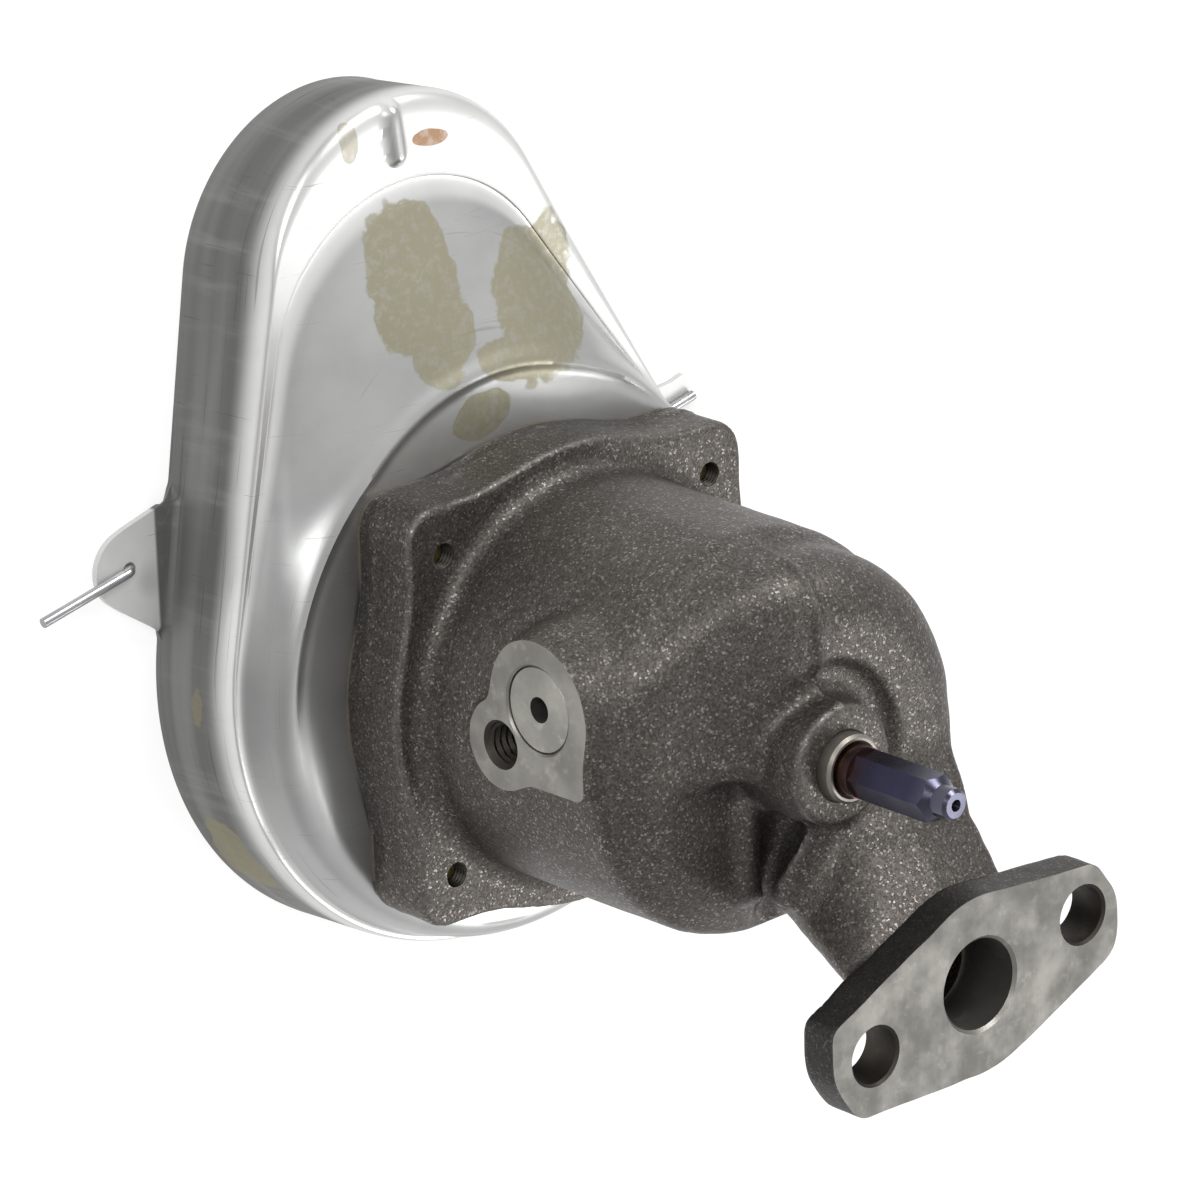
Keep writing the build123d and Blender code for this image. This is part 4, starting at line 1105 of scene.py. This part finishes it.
@dataclass(frozen=True)
class Hood:
    """The stamped sheet hood, as a grid from the seat's hole over ridge, crease and wall to the ears."""

    rim_low: Circle2 = Circle2(-5.0, 3.0, 59.6)
    rim_high: Circle2 = Circle2(-20.0, 74.0, 34.0)
    shelf_low: Circle2 = Circle2(-5.0, 3.0, 58.6)
    shelf_high: Circle2 = Circle2(-17.5, 76.8, 32.3)
    crease_low: Circle2 = Circle2(-5.0, 3.0, 57.1)
    crease_high: Circle2 = Circle2(-17.2, 59.6, 33.4)
    ridge_low: Circle2 = Circle2(-2.0, 1.0, 54.4)
    ridge_high: Circle2 = Circle2(-4.5, 12.0, 44.6)
    hole: Circle2 = Circle2(0.0, 3.2, 35.0)
    top: float = -103.5
    shelf: float = -112.0
    rim: float = -133.0
    sheet: float = 1.3
    ridge_reach: float = 4.0
    roll: float = 1.0
    groove: float = 0.8
    crease_reach: float = 0.7
    shelf_reach: float = 4.2
    rib: tuple = ((-21.4, 105.9), (-20.4, 98.0))
    rib_r: float = 2.1
    rib_rise: float = 1.6
    ears: tuple = ((-71.6, 28.4), (57.2, 28.4))
    ear_r: float = 7.4
    ear_hole_r: float = 1.35
    ear_rise: float = 2.0
    ear_step: float = 4.0
    flare: float = 15.0
    bolt_hole_r: float = 2.75
    columns: int = 420

    def places(self) -> Array:
        """Where the columns stand round the outline: closer together at the ears and the rib."""
        fine = np.linspace(0, 4, 8001)
        flat = outline_points(self.rim_low, self.rim_high, fine)
        step = np.linalg.norm(np.diff(flat, axis=0), axis=1)
        middle = (flat[1:] + flat[:-1]) / 2
        weight = np.ones(len(middle))
        for (x, y), reach in ((self.ears[0], 16.0), (self.ears[1], 14.0), ((-20.5, 108.0), 5.0)):
            weight += 4.0 * np.exp(-(np.hypot(*(middle - (x, y)).T) / reach) ** 4)
        total = np.concatenate([[0], np.cumsum(weight * step)])
        return np.interp(np.linspace(0, total[-1], self.columns, endpoint=False), total, fine)

    def lip(self, flat: Array) -> tuple[Array, Array]:
        """How far the lip reaches out at each column, and the way out.

        Along the rim, at s from an ear's middle, the reach is d + sqrt(r^2 - s^2) up to s = s1, and
        beyond it the cubic that carries its height h and slope m down to zero at s = s2:
        h (2t^3 - 3t^2 + 1) + m (s2 - s1)(t^3 - 2t^2 + t), with t = (s - s1) / (s2 - s1).
        """
        ahead = np.roll(flat, -1, axis=0) - np.roll(flat, 1, axis=0)
        out = np.stack([ahead[:, 1], -ahead[:, 0]], 1) / np.linalg.norm(ahead, axis=1, keepdims=True)
        reach = np.zeros(len(flat))
        r, s1, s2 = self.ear_r, 0.82 * self.ear_r, self.flare
        for x, y in self.ears:
            near = np.linalg.norm(flat - (x, y), axis=1).argmin()
            s = np.linalg.norm(flat - flat[near], axis=1)
            s = s * np.where((x > 0) & (flat[:, 1] > y), 2.0, 1.0)
            deep = np.linalg.norm(flat[near] - (x, y))
            crown = deep + np.sqrt(np.clip(r * r - s * s, 0, None))
            t = np.clip((s - s1) / (s2 - s1), 0, 1)
            high, slope = deep + math.sqrt(r * r - s1 * s1), -s1 / math.sqrt(r * r - s1 * s1)
            tail = high * (2 * t ** 3 - 3 * t ** 2 + 1) + slope * (s2 - s1) * (t ** 3 - 2 * t ** 2 + t)
            reach = np.maximum(reach, np.where(s < s1, crown, tail))
        return reach, out

    def towards(self, outline: Array, targets: Array) -> Array:
        """The points of an outline that lie the same way from the hole's middle as each target."""
        middle = np.array((self.hole.x, self.hole.y))
        angle = np.arctan2(*(outline - middle).T[::-1])
        order = np.argsort(angle)
        wanted = np.arctan2(*(targets - middle).T[::-1])
        angle, outline = angle[order], outline[order]
        return np.stack([np.interp(wanted, angle, outline[:, k], period=2 * np.pi) for k in (0, 1)], 1)

    def grid(self) -> Array:
        """The outer surface as rows by columns of points."""
        where, fine = self.places(), np.linspace(0, 4, 2000)
        crease = outline_points(self.crease_low, self.crease_high, where)
        ridge = self.towards(outline_points(self.ridge_low, self.ridge_high, fine), crease)
        within = Circle2(self.hole.x, self.hole.y + 0.02, self.hole.r - 0.01)
        hole = self.towards(outline_points(self.hole, within, fine), crease)
        shelf = outline_points(self.shelf_low, self.shelf_high, where)
        rim = outline_points(self.rim_low, self.rim_high, where)
        reach, out = self.lip(rim)
        lip = rim + out * np.maximum(reach, 0.02)[:, None]
        low = self.rim + self.sheet + 0.03 + self.ear_rise * eased(reach / self.ear_step)
        levels = ((hole, self.top), (ridge, self.top), (crease, self.shelf), (shelf, self.shelf),
                  (rim, low), (lip, low))
        corners = [np.column_stack([flat, np.broadcast_to(z, len(flat))]) for flat, z in levels]
        points = rounded_path(corners, [self.ridge_reach, self.crease_reach, self.shelf_reach, 2.0],
                              [6, 12, 18, 10, 7], [10, 5, 8, 5])
        return self.pressed(points, hole, ridge, crease)

    def pressed(self, points: Array, hole: Array, ridge: Array, crease: Array) -> Array:
        """Press the ridge's roll, the crease's groove and the rib into the surface.

        Roll and groove are bells exp(-(d / w)^2), with d the flat distance from their line, and the
        rib is a smooth step of the flat distance from its middle line.

        Args:
            points: The surface, which changes.
            hole: The hole's edge at each column.
            ridge: The ridge at each column.
            crease: The crease at each column.

        Returns:
            The surface.
        """
        flat, height = points[..., :2], points[..., 2]
        from_hole = np.linalg.norm(flat - hole, axis=-1)
        inner = from_hole < np.linalg.norm(ridge - hole, axis=-1)
        roll = np.exp(-(np.linalg.norm(flat - ridge, axis=-1) / np.where(inner, 1.2, 2.5)) ** 2)
        height += self.roll * roll * (height > self.shelf - 1) * np.clip((ridge[:, 1] + 20) / 30, 0, 1)
        inside = from_hole < np.linalg.norm(crease - hole, axis=-1)
        step = np.exp(-((np.linalg.norm(flat - crease, axis=-1) - 2.0) / 1.7) ** 2) * inside
        height -= self.groove * step * np.clip((crease[:, 1] - 10) / 30, 0, 1)
        a, b = np.array(self.rib[0]), np.array(self.rib[1])
        share = np.clip(((flat - a) @ (b - a)) / ((b - a) @ (b - a)), 0, 1)
        away = np.linalg.norm(flat - a - share[..., None] * (b - a), axis=-1)
        height += self.rib_rise * eased(1.25 - away / self.rib_r) * (height > self.shelf - 3)
        return points

    def build(self, materials: Materials) -> None:
        """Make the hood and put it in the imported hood's place."""
        points = self.grid()
        faces = ring_faces(*points.shape[:2])[:, ::-1]
        used = [materials["hood_sheet"]]
        thing = mesh_object("hood", points.reshape(-1, 3), faces, used)
        skin = thing.modifiers.new("sheet", "SOLIDIFY")
        skin.thickness, skin.offset, skin.use_even_offset = self.sheet * MM, -1.0, True
        freeze(thing)
        cutters = [rod_cutter(self.ear_hole_r, -136, -124, ear) for ear in self.ears]
        cutters += [rod_cutter(self.bolt_hole_r, -110, -98, bolt) for bolt in BOLTS]
        carve(thing, cutters, used, 0)
        crease_shading(thing, 35)
        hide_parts("pickup_hood")
        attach(thing, "housing")
        LOG.info("hood: %d faces", len(thing.data.polygons))


@dataclass(frozen=True)
class Screen:
    """The woven wire screen under the hood, two sets of wires that cross over and under."""

    low: Circle2 = Circle2(-5.0, 3.0, 56.6)
    high: Circle2 = Circle2(-19.7, 74.4, 31.2)
    middle: float = -129.6
    pitch: float = 2.0
    wire_r: float = 0.19
    sides: int = 5

    def wire(self, start: float, end: float, place: float, phase: float, along_x: bool) -> Shape:
        """One wire, open at its two ends: height = middle + wire_r cos(pi s / pitch + phase)."""
        s = np.arange(start, end, self.pitch / 2)
        height = self.middle + self.wire_r * np.cos(np.pi * s / self.pitch + phase)
        angle = np.linspace(0, 2 * np.pi, self.sides, endpoint=False)
        across = place + self.wire_r * np.cos(angle)[None, :] + 0 * s[:, None]
        up = height[:, None] + self.wire_r * np.sin(angle)[None, :]
        far = s[:, None] + 0 * angle[None, :]
        points = np.stack([far, across, up] if along_x else [across, far, up], -1).reshape(-1, 3)
        faces = ring_faces(len(s), self.sides)
        return points, faces if along_x else faces[:, ::-1]

    def build(self, materials: Materials) -> None:
        """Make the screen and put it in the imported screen's place."""
        outline = outline_points(self.low, self.high, np.linspace(0, 4, 1600, endpoint=False))
        points, faces, count = [], [], 0
        for axis in (0, 1):
            across = outline[:, 1 - axis]
            lines = np.arange(across.min() + self.pitch / 2, across.max(), self.pitch)
            for number, place in enumerate(lines):
                near = outline[np.abs(across - place) < 0.6][:, axis]
                phase = np.pi * ((number + axis) % 2)
                more, quads = self.wire(near.min(), near.max(), place, phase, axis == 0)
                points.append(more)
                faces.append(quads + count)
                count += len(more)
        used = [materials["screen_wire"]]
        thing = mesh_object("screen", np.concatenate(points), np.concatenate(faces), used)
        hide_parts("strainer_screen")
        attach(thing, "housing")
        LOG.info("screen: %d faces", len(thing.data.polygons))


# ---------------------------------------------------------------- the relief spring
@dataclass(frozen=True)
class Spring:
    """The relief valve's coil, made at the imported spring's length."""

    axis: tuple = (11.3, -56.7)
    coil_r: float = 4.6
    wire_r: float = 0.7
    turns: float = 7.0
    travel: float = 10.0
    steps: int = 60
    sides: int = 12

    def coil(self, start: float, end: float) -> Shape:
        """A round wire along a helix, with a flat cap at each end.

        The middle line at angle a is (start + k a, y + R cos a, z + R sin a), with k the lead over
        2 pi.  The wire's ring lies across it: w (cos b * out + sin b * over), where out points from
        the axis and over is the tangent crossed with out.

        Args:
            start: Where the middle line starts along x.
            end: Where it ends.

        Returns:
            Points and faces.
        """
        a = np.linspace(0, 2 * np.pi * self.turns, int(self.steps * self.turns) + 1)
        lead = (end - start) / a[-1]
        out = np.stack([0 * a, np.cos(a), np.sin(a)], 1)
        along = np.stack([np.full_like(a, lead), -self.coil_r * np.sin(a), self.coil_r * np.cos(a)], 1)
        along /= np.linalg.norm(along, axis=1, keepdims=True)
        over = np.cross(along, out)
        middle = np.stack([start + lead * a, 0 * a + self.axis[0], 0 * a + self.axis[1]], 1)
        middle = middle + self.coil_r * out
        b = np.linspace(0, 2 * np.pi, self.sides, endpoint=False)
        radius = np.full(len(a) + 2, self.wire_r)
        radius[[0, -1]] = 0.0
        rows = np.concatenate([[0], np.arange(len(a)), [len(a) - 1]])
        ring = np.cos(b)[None, :, None] * out[rows, None] + np.sin(b)[None, :, None] * over[rows, None]
        points = middle[rows, None] + radius[:, None, None] * ring
        return points.reshape(-1, 3), ring_faces(len(rows), self.sides)

    def build(self, materials: Materials) -> None:
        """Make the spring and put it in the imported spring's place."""
        low, high = (np.array(corner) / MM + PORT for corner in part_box("relief_spring"))
        points, faces = self.coil(low[0] + self.wire_r, high[0] - self.wire_r)
        thing = mesh_object("spring", points, faces, [materials["spring_steel"]])
        merge_doubles(thing)
        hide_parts("relief_spring")
        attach(thing, "housing")
        anchor = tuple(float(v) for v in row(np.array((low[0], *self.axis))))
        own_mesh(thing)
        LOG.info("spring: %d faces", len(thing.data.polygons))


# ---------------------------------------------------------------- studio
class Studio:
    """The camera, the floor and soft lights."""

    EYE = (-776.4, 429.5, 818.8)
    RIGHT = (0.7506, -0.0318, 0.6600)
    DOWN = (-0.2395, -0.9440, 0.2270)
    LENS = 208.66
    SENSOR = 36.0
    FLOOR = -133.0
    FLOOR_HALF = 6000.0
    TARGET = (-0.02, 0.05, -0.06)
    AHEAD = (0.50, -0.50, 0.60)

    def camera(self) -> None:
        """Place the camera from its eye point and its right and down directions."""
        data = bpy.data.cameras.new("camera")
        data.sensor_fit, data.sensor_width, data.lens = "HORIZONTAL", self.SENSOR, self.LENS
        data.clip_start, data.clip_end = 0.05, 20.0
        right = Vector(self.RIGHT).normalized()
        up = -Vector(self.DOWN)
        up = (up - right * up.dot(right)).normalized()
        back = right.cross(up)
        turn = Matrix((right, up, back)).transposed().to_4x4()
        thing = bpy.data.objects.new("camera", data)
        thing.matrix_world = Matrix.Translation(Vector(row(np.array(self.EYE)))) @ turn
        bpy.context.scene.collection.objects.link(thing)
        bpy.context.scene.camera = thing

    def floor(self) -> None:
        """A plain pale floor under the hood's rim."""
        made = bpy.data.materials.new("studio floor")
        shader = shader_of(made, "BSDF_PRINCIPLED")
        for name, value in (("Base Color", (0.25, 0.25, 0.25, 1)), ("Roughness", 0.9),
                            ("Emission Color", (1.0, 1.0, 1.0, 1)), ("Emission Strength", 0.78)):
            shader.inputs[name].default_value = value
        side = self.FLOOR_HALF
        flat = ((-side, -side), (side, -side), (side, side), (-side, side))
        corners = np.array([(x, y, self.FLOOR) for x, y in flat])
        mesh_object("floor", corners, np.array([(0, 1, 2, 3)]), [made])

    def light(self, name: str, at: tuple, size: float, power: float) -> None:
        """A square soft light that faces the pump.

        Args:
            name: The light's name.
            at: Its place in metres from the middle of the pump.
            size: Its side in metres.
            power: Its watts.
        """
        data = bpy.data.lights.new(name, "AREA")
        data.energy, data.size = power, size
        thing = bpy.data.objects.new(name, data)
        target = Vector(self.TARGET)
        place = target + Vector(at)
        facing = (place - target).to_track_quat("Z", "Y").to_matrix().to_4x4()
        thing.matrix_world = Matrix.Translation(place) @ facing
        bpy.context.scene.collection.objects.link(thing)

    def world(self) -> None:
        """A surround that is brighter in front of the pump than behind it.

        Its strength is 0.37 + 0.85 max(d . k, 0), where d is the way out and k is AHEAD.
        """
        world = bpy.data.worlds.new("studio")
        back = shader_of(world, "BACKGROUND")
        tree = Tree(world.node_tree)
        way = tree.node("ShaderNodeTexCoord").outputs["Generated"]
        bright = tree.vectors("DOT_PRODUCT", way, self.AHEAD)
        strength = tree.times(tree.math("MAXIMUM", bright.outputs["Value"], 0.0), 0.85)
        tree.feed(back.inputs["Strength"], tree.plus(strength, 0.37))
        back.inputs["Color"].default_value = (1.0, 1.0, 1.0, 1)
        bpy.context.scene.world = world
        bpy.context.scene.view_settings.view_transform = "Standard"

    def build(self) -> None:
        """Make everything round the pump."""
        self.camera()
        self.floor()
        self.light("key", (0.45, 1.2, 0.75), 0.6, 14.0)
        self.light("front", (-0.95, 0.75, 0.8), 0.5, 9.0)
        self.light("side", (0.88, -0.78, 0.98), 0.5, 7.0)
        self.world()


def main() -> None:
    """Build the scene around the frame."""
    effects = Effects()
    materials = {slot: finish.make(effects) for slot, finish in FINISHES.items()}
    for part in frame["record"]["subparts"]:
        thing = frame["nodes"][part["node"]]
        thing.data.materials.clear()
        thing.data.materials.append(materials[part["material_slot"]])
    for piece in (Casting(), Hood(), Screen(), Spring()):
        piece.build(materials)
    Studio().build()


if __name__ == "__main__":
    logging.basicConfig(level=logging.INFO, format="%(message)s")
    main()
